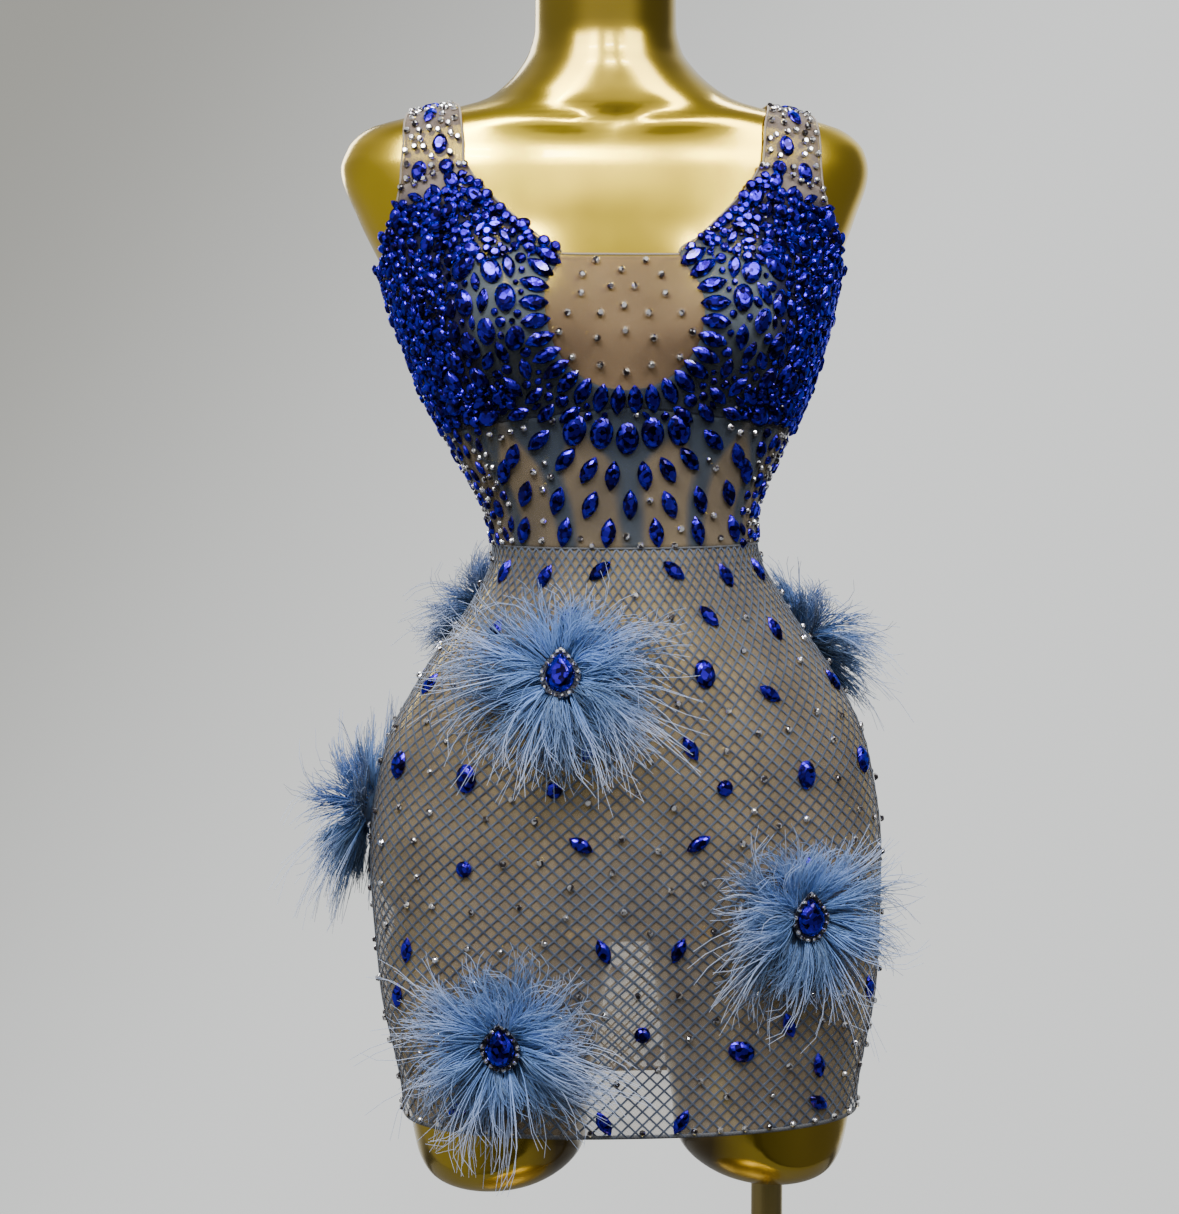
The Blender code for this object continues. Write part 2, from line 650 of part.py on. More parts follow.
def make_strap(side, collection):
    """Shoulder strap, over the ridge from the bust panel to the back."""
    bm = bmesh.new()
    add_grid(bm, STRAP_COLUMNS, 2 * STRAP_ROWS, lambda u, v: strap_place(u, v, side))
    thicken(bm)
    return add_object("strap_right" if side > 0 else "strap_left", bm, FABRIC_NUDE, collection)


def form_heights():
    """Ring heights of the form: with the skirt's rows below the waist, and close where it narrows fast."""
    rows = skirt_heights()
    heights = [rows[6], rows[8], rows[10], *rows[11:]]
    for low, high in zip(SECTIONS, SECTIONS[1:]):
        if high.height <= heights[-1] + 0.004:
            continue
        start = max(low.height, heights[-1])
        run = max(high.height - start, abs(high.half_width - low.half_width))
        steps = ceil(run / FORM_STEP - 0.2)
        heights += [mix(start, high.height, i / steps) for i in range(1, steps + 1)]
    return heights


def make_thigh(side, helpers):
    rings = []
    for row in THIGHS:
        ring = []
        for index in range(THIGH_SIDES):
            turn = 2 * pi * index / THIGH_SIDES
            depth = row.front if cos(turn) > 0 else row.back
            x = THIGH_CENTRE + side * row.out + row.half_width * sin(turn)
            ring.append(scaled_out(Vector((x, -depth * cos(turn), row.height)), -1.0, -THIGH_SINK))
        rings.append(ring)
    bm = bmesh.new()
    loft(bm, rings)
    name = "thigh_right" if side > 0 else "thigh_left"
    return add_object(name, bm, GILT, helpers)


def make_form(collection, helpers):
    """Smooth torso from a plain neck to two thigh stubs, with a socket for the pole."""
    sides = FORM_SIDES
    rings = [
        [body_point(z, 2 * pi * i / sides, False) for i in range(sides)]
        for z in [CROTCH_HEIGHT, *form_heights()]
    ]
    rings[0] = [Vector((p.x * 0.97, p.y * 0.97, p.z)) for p in rings[0]]
    top = SECTIONS[-1].height
    rings.append([Vector((mix(SECTIONS[-1].centre, p.x, 0.8), p.y * 0.8, top + 0.004)) for p in rings[-1]])
    bm = bmesh.new()
    loft(bm, rings)
    form = add_object("display_form", bm, GILT, collection)
    for side in (1, -1):
        combine(form, make_thigh(side, helpers), "UNION")
    socket = cylinder("pole_socket", POLE_RADIUS + SEAM_GAP, THIGHS[-1].height - 0.02, SOCKET_TOP, helpers)
    combine(form, socket, "DIFFERENCE")
    return form


def cylinder(name, radius, low, high, collection, x=THIGH_CENTRE + POLE_OUT, y=POLE_BACK):
    bm = bmesh.new()
    bmesh.ops.create_cone(
        bm,
        cap_ends=True,
        segments=POLE_SIDES,
        radius1=radius,
        radius2=radius,
        depth=high - low,
        matrix=Matrix.Translation((x, y, (low + high) / 2)),
    )
    return add_object(name, bm, GILT, collection)


def make_base(collection, helpers):
    """Round base plate with a boss that holds the pole."""
    bm = bmesh.new()
    bmesh.ops.create_cone(
        bm,
        cap_ends=True,
        segments=BASE_SIDES,
        radius1=BASE_RADIUS,
        radius2=BASE_RADIUS,
        depth=BASE_THICKNESS,
        matrix=Matrix.Translation((0, 0, BASE_THICKNESS / 2)),
    )
    rim = [e for e in bm.edges if all(v.co.z > BASE_THICKNESS / 2 for v in e.verts)]
    bmesh.ops.bevel(bm, geom=rim, offset=BASE_BEVEL, segments=2, profile=0.5, affect="EDGES", material=-1)
    base = add_object("base_plate", bm, GILT, collection)
    boss = cylinder("base_boss", BOSS_RADIUS, BASE_THICKNESS / 2, BOSS_HEIGHT, helpers)
    combine(base, boss, "UNION")
    hole = cylinder("boss_hole", POLE_RADIUS + SEAM_GAP, BASE_THICKNESS - BOSS_SINK, BOSS_HEIGHT + 0.01, helpers)
    combine(base, hole, "DIFFERENCE")
    return base


def make_dress_and_form():
    clear_scene()
    collection = collection_for("feather dress on display form")
    helpers = collection_for("cutters")
    front = make_skirt("skirt_front", False, collection, helpers)
    back = make_skirt("skirt_back", True, collection, helpers)
    make_midriff(collection, helpers)
    make_back(collection, helpers)
    make_inset(collection)
    for side in (1, -1):
        make_bust_panel(side, collection)
        make_strap(side, collection)
    skirt = surface_of(front, back)
    for rosette in ROSETTES:
        frame = seated(rosette_frame(rosette), skirt)
        make_rosette(rosette, frame, collection)
        make_jewel(rosette, frame, collection)
    make_form(collection, helpers)
    cylinder("pole", POLE_RADIUS, BASE_THICKNESS - BOSS_SINK + SEAM_GAP, SOCKET_TOP - SEAM_GAP, collection)
    make_base(collection, helpers)


make_dress_and_form()
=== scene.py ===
"""Short stage dress of nude net and fishnet with royal blue stones and feather rosettes, on its
gilt display form. Metres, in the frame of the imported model."""

import random
from bisect import bisect_left
from collections import namedtuple
from functools import lru_cache
from math import asin, atan2, copysign, cos, exp, floor, pi, radians, sin

import bmesh
import bpy
from mathutils import Matrix, Vector
from mathutils.bvhtree import BVHTree


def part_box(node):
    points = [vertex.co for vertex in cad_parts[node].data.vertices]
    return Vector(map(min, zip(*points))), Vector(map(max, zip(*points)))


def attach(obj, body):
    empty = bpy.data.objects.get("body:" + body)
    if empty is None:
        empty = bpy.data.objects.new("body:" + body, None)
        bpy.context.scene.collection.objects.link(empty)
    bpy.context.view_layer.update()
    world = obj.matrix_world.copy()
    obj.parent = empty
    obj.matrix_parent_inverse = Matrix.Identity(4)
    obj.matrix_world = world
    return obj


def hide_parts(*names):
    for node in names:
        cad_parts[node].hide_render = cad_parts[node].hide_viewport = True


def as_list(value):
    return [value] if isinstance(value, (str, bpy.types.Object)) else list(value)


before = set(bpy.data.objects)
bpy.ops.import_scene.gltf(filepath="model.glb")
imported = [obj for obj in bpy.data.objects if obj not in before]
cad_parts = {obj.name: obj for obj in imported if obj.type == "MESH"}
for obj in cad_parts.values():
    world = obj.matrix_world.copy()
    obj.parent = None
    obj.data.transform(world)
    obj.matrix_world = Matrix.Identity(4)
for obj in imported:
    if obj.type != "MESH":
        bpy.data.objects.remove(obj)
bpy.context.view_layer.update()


# Camera, at the height of the waist and a little to the viewer's left of the centre front, turned
# slightly down. A long lens keeps the hem and the shoulders at one scale.

VIEW_AZIMUTH, VIEW_PITCH = radians(-4.5), radians(5)
VIEW_DISTANCE = 2.1
VIEW_AIM = Vector((-0.028, 0, 0.7335))
VIEW_LENS, VIEW_SENSOR = 83.35, 36

from_aim = Vector((sin(VIEW_AZIMUTH) * cos(VIEW_PITCH), -cos(VIEW_AZIMUTH) * cos(VIEW_PITCH), 0))
from_aim.z = sin(VIEW_PITCH)
lens = bpy.data.cameras.new("camera")
lens.sensor_fit = "VERTICAL"
lens.sensor_height = VIEW_SENSOR
lens.lens = VIEW_LENS
camera = bpy.data.objects.new("camera", lens)
bpy.context.scene.collection.objects.link(camera)
camera.location = VIEW_AIM + from_aim * VIEW_DISTANCE
camera.rotation_euler = (-from_aim).to_track_quat("-Z", "Y").to_euler()
bpy.context.scene.camera = camera


# Studio: a grey plinth in a plain pale room that darkens to the sides, so that the gilt's edges stay
# deep. Two large soft boxes stand in front, and narrow ceiling lights glint on the collarbones.

ROOM_BEHIND, ROOM_BEHIND_TOP = (1.06, 1.08, 1.07, 1), (0.40, 0.395, 0.36, 1)
ROOM_FRONT, ROOM_LEFT, ROOM_RIGHT = (0.30, 0.30, 0.30, 1), (0.34, 0.34, 0.34, 1), (0.15, 0.15, 0.155, 1)
ROOM_HIGH, ROOM_TOP, ROOM_LOW = (0.78, 0.78, 0.78, 1), (0.30, 0.30, 0.305, 1), (0.055, 0.053, 0.049, 1)
PLINTH_COLOUR, PLINTH_RADIUS, PLINTH_DEPTH = (0.12, 0.12, 0.118, 1), 0.62, 0.06
LAMP_AIM = Vector((0, 0, 0.75))
SoftBox = namedtuple("SoftBox", "name place width height watts")
SOFT_BOXES = (
    SoftBox("key", Vector((-1.15, -1.55, 3.05)), 1.4, 0.9, 84),
    SoftBox("fill", Vector((1.35, -1.5, 2.9)), 1.1, 0.9, 50),
    SoftBox("ceiling_left", Vector((-0.75, -1.7, 2.75)), 0.45, 0.04, 10),
    SoftBox("ceiling_middle", Vector((0.05, -1.9, 2.75)), 0.40, 0.05, 12),
    SoftBox("ceiling_right", Vector((0.70, -1.7, 2.75)), 0.30, 0.04, 9),
    SoftBox("ceiling_back", Vector((0.3, 1.4, 2.6)), 1.2, 0.5, 26),
    SoftBox("back", Vector((-1.2, 2.4, 1.6)), 1.0, 1.4, 26),
)

for box in SOFT_BOXES:
    light = bpy.data.lights.new(box.name, "AREA")
    light.shape = "RECTANGLE"
    light.size = box.width
    light.size_y = box.height
    light.energy = box.watts
    lamp = bpy.data.objects.new(box.name, light)
    lamp.location = box.place
    lamp.rotation_euler = (LAMP_AIM - box.place).to_track_quat("-Z", "Y").to_euler()
    bpy.context.scene.collection.objects.link(lamp)


class Level:
    """A number that changes over a surface. Sums and products of it add Math nodes."""

    def __init__(self, nodes, socket):
        self.nodes = nodes
        self.socket = socket

    def maths(self, operation, *values):
        return self.nodes.node("ShaderNodeMath", {"operation": operation}, dict(enumerate(values)))

    def __add__(self, other):
        return self.maths("ADD", self, other)

    def __sub__(self, other):
        return self.maths("SUBTRACT", self, other)

    def __rsub__(self, other):
        return self.maths("SUBTRACT", other, self)

    def __mul__(self, other):
        return self.maths("MULTIPLY", self, other)

    def __truediv__(self, other):
        return self.maths("DIVIDE", self, other)

    __radd__ = __add__
    __rmul__ = __mul__

    def size(self):
        return self.maths("ABSOLUTE", self)

    def cosine(self):
        return self.maths("COSINE", self)

    def above_zero(self):
        return self.maths("MAXIMUM", self, 0.0)

    def between(self, low, high):
        """0 below low, 1 above high and smooth between them."""
        settings = {"interpolation_type": "SMOOTHSTEP"}
        sockets = {"Value": self, "From Min": low, "From Max": high}
        return self.nodes.node("ShaderNodeMapRange", settings, sockets)


class Nodes:
    """Makes nodes in one tree."""

    def __init__(self, tree):
        self.tree = tree

    def node(self, kind, settings, sockets, output=0):
        """Any node, with its settings and the values or links of its sockets."""
        made = self.tree.nodes.new(kind)
        for key, value in settings.items():
            setattr(made, key, value)
        for key, value in sockets.items():
            if isinstance(value, Level):
                self.tree.links.new(value.socket, made.inputs[key])
            else:
                made.inputs[key].default_value = value
        return Level(self, made.outputs[output])

    def apart(self, vector):
        """The three parts of a vector."""
        split = self.node("ShaderNodeSeparateXYZ", {}, {0: vector}).socket.node
        return [Level(self, part) for part in split.outputs]

    def blend(self, share, first, second):
        """A colour between two, either of which may vary itself."""
        return self.node("ShaderNodeMix", {"data_type": "RGBA"}, {0: share, 6: first, 7: second}, 2)


class Finish(Nodes):
    """A material on one Principled shader."""

    def __init__(self, name, **values):
        self.material = bpy.data.materials.new(name)
        self.material.use_nodes = True
        super().__init__(self.material.node_tree)
        self.shader = self.tree.nodes["Principled BSDF"]
        for key, value in values.items():
            self.shader.inputs[SOCKETS[key]].default_value = value

    def place(self):
        return self.node("ShaderNodeTexCoord", {}, {}, "Object")

    def cut(self):
        """Across and up the piece's own UV map."""
        return self.apart(self.node("ShaderNodeUVMap", {}, {}))[:2]

    def noise(self, scale, detail=2.0):
        sockets = {"Vector": self.place(), "Scale": scale, "Detail": detail}
        return self.node("ShaderNodeTexNoise", {}, sockets, "Fac")

    def feed(self, key, level):
        self.tree.links.new(level.socket, self.shader.inputs[SOCKETS[key]])

    def raise_by(self, height, metres, strength=1.0):
        bump = {"Height": height, "Distance": metres, "Strength": strength}
        self.feed("normal", self.node("ShaderNodeBump", {}, bump, "Normal"))


SOCKETS = {
    "colour": "Base Color",
    "metallic": "Metallic",
    "roughness": "Roughness",
    "edge": "Specular Tint",
    "alpha": "Alpha",
    "normal": "Normal",
    "coat": "Coat Weight",
    "coat_roughness": "Coat Roughness",
    "sheen": "Sheen Weight",
    "sheen_roughness": "Sheen Roughness",
}

room = bpy.data.worlds.new("room")
room.use_nodes = True
walls = Nodes(room.node_tree)
aside, behind, above = walls.apart(walls.node("ShaderNodeTexCoord", {}, {}, "Generated"))
side_share = aside.size().between(0.50, 0.88)
front_colour = walls.blend(above.between(0.10, 0.30), ROOM_FRONT, ROOM_HIGH)
front_colour = walls.blend(above.between(0.55, 0.90), front_colour, ROOM_TOP)
front_colour = walls.blend(above.between(-0.25, -0.03), ROOM_LOW, front_colour)
side_colour = walls.blend(aside.between(-0.1, 0.1), ROOM_LEFT, ROOM_RIGHT)
front_colour = walls.blend(side_share, front_colour, side_colour)
back_colour = walls.blend((above * 0.8 - aside * 1.1).between(-0.22, 0.24), ROOM_BEHIND, ROOM_BEHIND_TOP)
back_colour = walls.blend(above.between(-0.45, -0.32), ROOM_LOW, back_colour)
wall_colour = walls.blend(behind.between(0.35, 0.85), front_colour, back_colour)
room.node_tree.links.new(wall_colour.socket, room.node_tree.nodes["Background"].inputs["Color"])
bpy.context.scene.world = room

plinth_finish = Finish("grey plinth", colour=PLINTH_COLOUR)
plinth_finish.feed("roughness", 0.55 + plinth_finish.noise(30.0) * 0.2)
bm = bmesh.new()
bmesh.ops.create_cone(
    bm, cap_ends=True, segments=128, radius1=PLINTH_RADIUS, radius2=PLINTH_RADIUS, depth=PLINTH_DEPTH
)
bmesh.ops.translate(bm, verts=bm.verts, vec=(0, 0, -PLINTH_DEPTH / 2))
plinth_mesh = bpy.data.meshes.new("plinth")
bm.to_mesh(plinth_mesh)
bm.free()
plinth_mesh.materials.append(plinth_finish.material)
plinth = bpy.data.objects.new("plinth", plinth_mesh)
bpy.context.scene.collection.objects.link(plinth)


# Display form: a hollow fibreglass torso in gold lacquer, polished to a mirror, with a plain neck,
# rounded shoulders and two thigh stubs. The same sections carry all the cloth below.

Section = namedtuple("Section", "height centre half_width front back squareness")
SECTIONS = (
    Section(0.354, 0.003, 0.1690, 0.093, 0.099, 2.40),
    Section(0.453, 0.002, 0.1850, 0.098, 0.110, 2.30),
    Section(0.549, 0.000, 0.1895, 0.102, 0.126, 2.25),
    Section(0.625, 0.000, 0.1790, 0.101, 0.124, 2.20),
    Section(0.682, 0.001, 0.1520, 0.095, 0.107, 2.15),
    Section(0.739, 0.001, 0.1130, 0.084, 0.085, 2.10),
    Section(0.776, -0.001, 0.0960, 0.078, 0.075, 2.10),
    Section(0.800, -0.004, 0.0975, 0.076, 0.074, 2.15),
    Section(0.851, -0.007, 0.1190, 0.078, 0.080, 2.25),
    Section(0.900, -0.009, 0.1420, 0.084, 0.088, 2.35),
    Section(0.944, -0.011, 0.1560, 0.089, 0.092, 2.45),
    Section(0.980, -0.013, 0.1660, 0.088, 0.091, 2.50),
    Section(1.020, -0.015, 0.1830, 0.082, 0.086, 2.50),
    Section(1.056, -0.016, 0.1945, 0.073, 0.078, 2.45),
    Section(1.0715, -0.015, 0.1900, 0.068, 0.073, 2.40),
    Section(1.085, -0.015, 0.1760, 0.065, 0.070, 2.35),
    Section(1.0925, -0.014, 0.1530, 0.064, 0.069, 2.25),
    Section(1.0995, -0.013, 0.1200, 0.064, 0.068, 2.15),
    Section(1.107, -0.013, 0.0930, 0.063, 0.067, 2.10),
    Section(1.1165, -0.014, 0.0780, 0.061, 0.066, 2.05),
    Section(1.1285, -0.015, 0.0655, 0.058, 0.064, 2.00),
    Section(1.143, -0.016, 0.0560, 0.053, 0.061, 2.00),
    Section(1.160, -0.016, 0.0520, 0.049, 0.058, 2.00),
    Section(1.212, -0.016, 0.0515, 0.047, 0.057, 2.00),
)
SHOULDER_LOW, SHOULDER_HIGH = 1.056, 1.130
CUP_OUT, CUP_HEIGHT = 0.088, 0.945
CUP_RISE, CUP_WIDTH, CUP_TALL = 0.030, 0.050, 0.048
BRIDGE_RISE, BRIDGE_WIDTH, BRIDGE_TALL = 0.009, 0.034, 0.060
NECK_ROUND = 0.004
CROTCH_LOW, CROTCH_ROUND = 0.487, 0.045
CREASE_FROM, CREASE_PASSES = 0.474, 14  # where the thighs' joint is smoothed, and how often
CROTCH_RINGS, NECK_RINGS = 12, 5
FORM_SIDES, FORM_ROWS = 128, 190
Thigh = namedtuple("Thigh", "height out half_width front back")
THIGHS = (
    Thigh(0.560, 0.090, 0.0700, 0.074, 0.088),
    Thigh(0.520, 0.092, 0.0800, 0.086, 0.098),
    Thigh(0.482, 0.098, 0.0850, 0.094, 0.104),
    Thigh(0.440, 0.101, 0.0805, 0.094, 0.102),
    Thigh(0.400, 0.101, 0.0760, 0.092, 0.099),
    Thigh(0.360, 0.100, 0.0680, 0.088, 0.094),
    Thigh(0.335, 0.099, 0.0645, 0.083, 0.089),
    Thigh(0.320, 0.101, 0.0585, 0.074, 0.080),
    Thigh(0.308, 0.105, 0.0470, 0.060, 0.065),
    Thigh(0.301, 0.108, 0.0320, 0.041, 0.045),
    Thigh(0.297, 0.110, 0.0140, 0.018, 0.020),
    Thigh(0.2965, 0.110, 0.0001, 0.0001, 0.0001),
)
THIGH_CENTRE, THIGH_SINK = 0.003, 0.0015
THIGH_SIDES, THIGH_ROWS = 72, 80
GILT_BRIGHT = (0.93, 0.67, 0.045, 1)
GILT_DEEP = (0.72, 0.50, 0.040, 1)
GILT_SHADE = (0.10, 0.068, 0.020, 1)  # painted shade between the thighs, and less of it on the neck and the lower thigh stubs
COLLAR_LOW, COLLAR_CLIMB, COLLAR_WIDTH = 1.0835, 0.07, 0.0065  # the line of the collarbones
COLLAR_IN, COLLAR_OUT, COLLAR_RISE, COLLAR_HOLLOW = 0.012, 0.098, 0.0026, 0.0014


def mix(a, b, share):
    return a + (b - a) * share


def slope_at(index, column):
    """Tangent of a column of SECTIONS, flat where the column turns round."""
    if index in (0, len(SECTIONS) - 1):
        return 0.0
    before, here, after = SECTIONS[index - 1 : index + 2]
    below = (here[column] - before[column]) / (here.height - before.height)
    above = (after[column] - here[column]) / (after.height - here.height)
    if below * above <= 0:
        return 0.0
    return 2 * below * above / (below + above)


@lru_cache(maxsize=60000)
def section_at(z):
    """The section at a height, on smooth curves through SECTIONS."""
    z = min(max(z, SECTIONS[0].height), SECTIONS[-1].height)
    index = max(i for i, s in enumerate(SECTIONS[:-1]) if s.height <= z)
    low, high = SECTIONS[index], SECTIONS[index + 1]
    span = high.height - low.height
    t = (z - low.height) / span
    values = [z]
    for column in range(1, len(low)):
        values.append(
            (2 * t**3 - 3 * t**2 + 1) * low[column]
            + (t**3 - 2 * t**2 + t) * span * slope_at(index, column)
            + (3 * t**2 - 2 * t**3) * high[column]
            + (t**3 - t**2) * span * slope_at(index + 1, column)
        )
    return Section(*values)


def bell(value, width):
    return exp(-((value / width) ** 2))


def body_point(z, turn, bridged):
    """A point of the body, turned from the centre front to +X. bridged draws cloth across the cups."""
    s = section_at(z)
    power = 2 / s.squareness
    x = copysign(abs(sin(turn)) ** power, sin(turn)) * s.half_width
    forward = copysign(abs(cos(turn)) ** power, cos(turn))
    y = -forward * (s.front if forward > 0 else s.back)
    if forward > 0:
        cup = CUP_RISE * bell(abs(x) - CUP_OUT, CUP_WIDTH) * bell(z - CUP_HEIGHT, CUP_TALL)
        bridge = BRIDGE_RISE * bell(x, BRIDGE_WIDTH) * bell(z - CUP_HEIGHT, BRIDGE_TALL)
        y -= forward * (cup + (bridge if bridged else 0))
    return Vector((s.centre + x, y, z))


def scaled_out(point, least, most):
    """The point, moved level to lie between two distances, in metres, outside the body's surface."""
    s = section_at(point.z)
    away = point - Vector((s.centre, 0, point.z))
    depth = s.back if point.y > 0 else s.front
    out = (abs(away.x) / s.half_width) ** s.squareness + abs(away.y / depth) ** s.squareness
    surface = away.length / max(out, 1e-9) ** (1 / s.squareness)
    if away.length < 1e-6 or surface + least <= away.length <= surface + most:
        return point
    return point + away * (min(max(away.length, surface + least), surface + most) / away.length - 1)


def smooth_row(rows, place):
    """The row at a fractional index, on a curve through all the rows."""
    place = min(max(place, 0.0), len(rows) - 1.0)
    index = min(int(place), len(rows) - 2)
    t = place - index
    near = [rows[min(max(index + step, 0), len(rows) - 1)] for step in (-1, 0, 1, 2)]
    values = []
    for a, b, c, d in zip(*near):
        values.append(b + 0.5 * t * (c - a + t * (2 * a - 5 * b + 4 * c - d + t * (3 * (b - c) + d - a))))
    return values


def keep_mesh(name, bm, *materials):
    """A bmesh as an object of the scene, with its materials."""
    mesh = bpy.data.meshes.new(name)
    bm.to_mesh(mesh)
    bm.free()
    for material in materials:
        mesh.materials.append(material)
    piece = bpy.data.objects.new(name, mesh)
    bpy.context.scene.collection.objects.link(piece)
    return piece


def own(piece, node=None):
    """Puts a piece on the root body and hides the CAD node that it stands for."""
    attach(piece, "root")
    if node:
        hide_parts(node)
    return piece


def smooth_faces(bm):
    for face in bm.faces:
        face.smooth = True


def rings(bm, sides, levels):
    """A closed skin through rings of points. levels holds one list of points for each ring."""
    last = len(levels) - 1
    for vertex in bmesh.ops.create_grid(bm, x_segments=sides, y_segments=last, size=0.5)["verts"]:
        level = levels[round((vertex.co.y + 0.5) * last)]
        vertex.co = level[round((vertex.co.x + 0.5) * sides) % sides]
    bmesh.ops.remove_doubles(bm, verts=bm.verts, dist=0.00002)
    bmesh.ops.dissolve_degenerate(bm, edges=bm.edges, dist=0.00001)
    bmesh.ops.holes_fill(bm, edges=bm.edges, sides=0)
    bmesh.ops.recalc_face_normals(bm, faces=bm.faces)


def torso_levels():
    """Heights and shares of the torso's rings: rounded under the crotch and at the neck's rim."""
    levels = []
    for step in range(CROTCH_RINGS):
        turn = pi / 2 * (step + 0.3) / CROTCH_RINGS
        levels.append((CROTCH_LOW + CROTCH_ROUND * (1 - cos(turn)), sin(turn) ** 0.5))
    start, top = CROTCH_LOW + CROTCH_ROUND, SECTIONS[-1].height
    levels += [(mix(start, top, row / FORM_ROWS), 1.0) for row in range(FORM_ROWS + 1)]
    for step in range(1, NECK_RINGS + 1):
        turn = pi / 2 * step / NECK_RINGS
        share = 1 - NECK_ROUND * (1 - cos(turn)) / SECTIONS[-1].front
        levels.append((top + NECK_ROUND * sin(turn), share))
    return levels


def collarbone(out, height):
    """How far the collarbones stand forward, with the hollows above them and between their ends."""
    line = COLLAR_LOW + COLLAR_CLIMB * out
    ends = min(max((out - COLLAR_IN) / 0.012, 0), 1) * min(max((COLLAR_OUT - out) / 0.040, 0), 1)
    notch = 0.6 * bell(out, COLLAR_IN) * bell(height - COLLAR_LOW - 0.006, COLLAR_WIDTH)
    hollow = COLLAR_HOLLOW * bell(height - line - 0.012, COLLAR_WIDTH)
    bone = COLLAR_RISE * bell(height - line, COLLAR_WIDTH)
    return ends * (bone - hollow) - COLLAR_RISE * notch


def torso_ring(height, share):
    centre = Vector((section_at(height).centre, 0, 0))
    ring = []
    for side in range(FORM_SIDES):
        turn = 2 * pi * side / FORM_SIDES
        point = body_point(height, turn, False)
        if cos(turn) > 0:
            point.y -= cos(turn) * collarbone(abs(point.x - centre.x), height)
        ring.append(Vector((mix(centre.x, point.x, share), point.y * share, height)))
    return ring


def thigh_ring(side, place):
    height, out, half_width, front, back = smooth_row(THIGHS, place)
    ring = []
    for step in range(THIGH_SIDES):
        turn = 2 * pi * step / THIGH_SIDES
        depth = front if cos(turn) > 0 else back
        x = THIGH_CENTRE + side * out + max(half_width, 0) * sin(turn)
        ring.append(scaled_out(Vector((x, -max(depth, 0) * cos(turn), height)), -1.0, -THIGH_SINK))
    return ring


bm = bmesh.new()
rings(bm, FORM_SIDES, [torso_ring(height, share) for height, share in torso_levels()])
torso = keep_mesh("torso", bm)
for side in (1, -1):
    bm = bmesh.new()
    steps = [(len(THIGHS) - 1) * row / THIGH_ROWS for row in range(THIGH_ROWS + 1)]
    rings(bm, THIGH_SIDES, [thigh_ring(side, step) for step in steps])
    thigh = keep_mesh("thigh", bm)
    union = torso.modifiers.new("thigh", "BOOLEAN")
    union.operation = "UNION"
    union.object = thigh
    bpy.context.view_layer.update()
    joined = bpy.data.meshes.new_from_object(torso.evaluated_get(bpy.context.evaluated_depsgraph_get()))
    torso.modifiers.clear()
    torso.data = joined
    bpy.data.objects.remove(thigh)

bm = bmesh.new()
bm.from_mesh(torso.data)
bpy.data.objects.remove(torso)
for _ in range(CREASE_PASSES):
    crease = [v for v in bm.verts if CREASE_FROM < v.co.z < CROTCH_LOW + CROTCH_ROUND]
    bmesh.ops.smooth_vert(bm, verts=crease, factor=0.5, use_axis_x=True, use_axis_y=True, use_axis_z=True)
smooth_faces(bm)

gilt = Finish("gold lacquer", metallic=1.0, coat=0.25, coat_roughness=0.03)
cloudy = gilt.noise(9.0).between(0.3, 0.7)
aside, behind, above = gilt.apart(gilt.place())
# Painted shade: the gold is darkened towards GILT_SHADE between the thighs, and less so on the neck and
# on the lower thigh stubs.
shade_between_thighs = (1 - aside.size().between(0.03, 0.085)) * (1 - above.between(0.53, 0.60))
painted_shade = shade_between_thighs + 0.60 * above.between(1.085, 1.135) + 0.5 * (1 - above.between(0.36, 0.39))
gilt.feed("colour", gilt.blend(painted_shade, gilt.blend(cloudy, GILT_DEEP, GILT_BRIGHT), GILT_SHADE))
gilt.feed("roughness", 0.17 + gilt.noise(34.0, 4.0) * 0.08)
gilt.raise_by(gilt.noise(14.0, 1.0), 0.0012, 0.25)

form_piece = own(keep_mesh("gilt_torso", bm, gilt.material), "display_form")


# Stand: a brass-coloured steel tube that runs up into the thigh, and a round spun base plate with a
# turned boss.

POLE_PLACE = Vector((THIGH_CENTRE + 0.1055, 0.004, 0))
POLE_RADIUS, POLE_SIDES = 0.012, 64
BASE_RADIUS, BASE_THICKNESS, BASE_SIDES = 0.170, 0.008, 160
BOSS_RADIUS, BOSS_HEIGHT = 0.021, 0.030
SHARP_BEND = 40  # degrees
STAND_BRIGHT, STAND_DEEP = (0.40, 0.315, 0.11, 1), (0.27, 0.21, 0.075, 1)


def turned(outline, segments, place):
    """A solid turned about the vertical line through place, from (radius, height) points."""
    bm = bmesh.new()
    profile = [bm.verts.new((radius, 0, height)) for radius, height in outline]
    edges = [bm.edges.new(pair) for pair in zip(profile, profile[1:])]
    around = {"axis": (0, 0, 1), "cent": (0, 0, 0), "angle": 2 * pi, "steps": segments}
    bmesh.ops.spin(bm, geom=profile + edges, use_merge=True, **around)
    bmesh.ops.remove_doubles(bm, verts=bm.verts, dist=0.00001)
    bmesh.ops.recalc_face_normals(bm, faces=bm.faces)
    bmesh.ops.translate(bm, verts=bm.verts, vec=place)
    smooth_faces(bm)
    return bm


def sharp_where_bent(bm, degrees):
    """Keeps the shading crisp across edges that turn by more than this."""
    for edge in bm.edges:
        if len(edge.link_faces) == 2 and edge.calc_face_angle() > radians(degrees):
            edge.smooth = False


stand_gilt = Finish("satin gold lacquer", metallic=1.0, coat=0.3, coat_roughness=0.12)
drawn_out = stand_gilt.node("ShaderNodeMapping", {}, {0: stand_gilt.place(), "Scale": (1, 1, 0.05)})
brushed = stand_gilt.node("ShaderNodeTexNoise", {}, {"Vector": drawn_out, "Scale": 260.0})
stand_gilt.feed("colour", stand_gilt.blend(brushed, STAND_DEEP, STAND_BRIGHT))
stand_gilt.feed("roughness", 0.26 + brushed * 0.16)

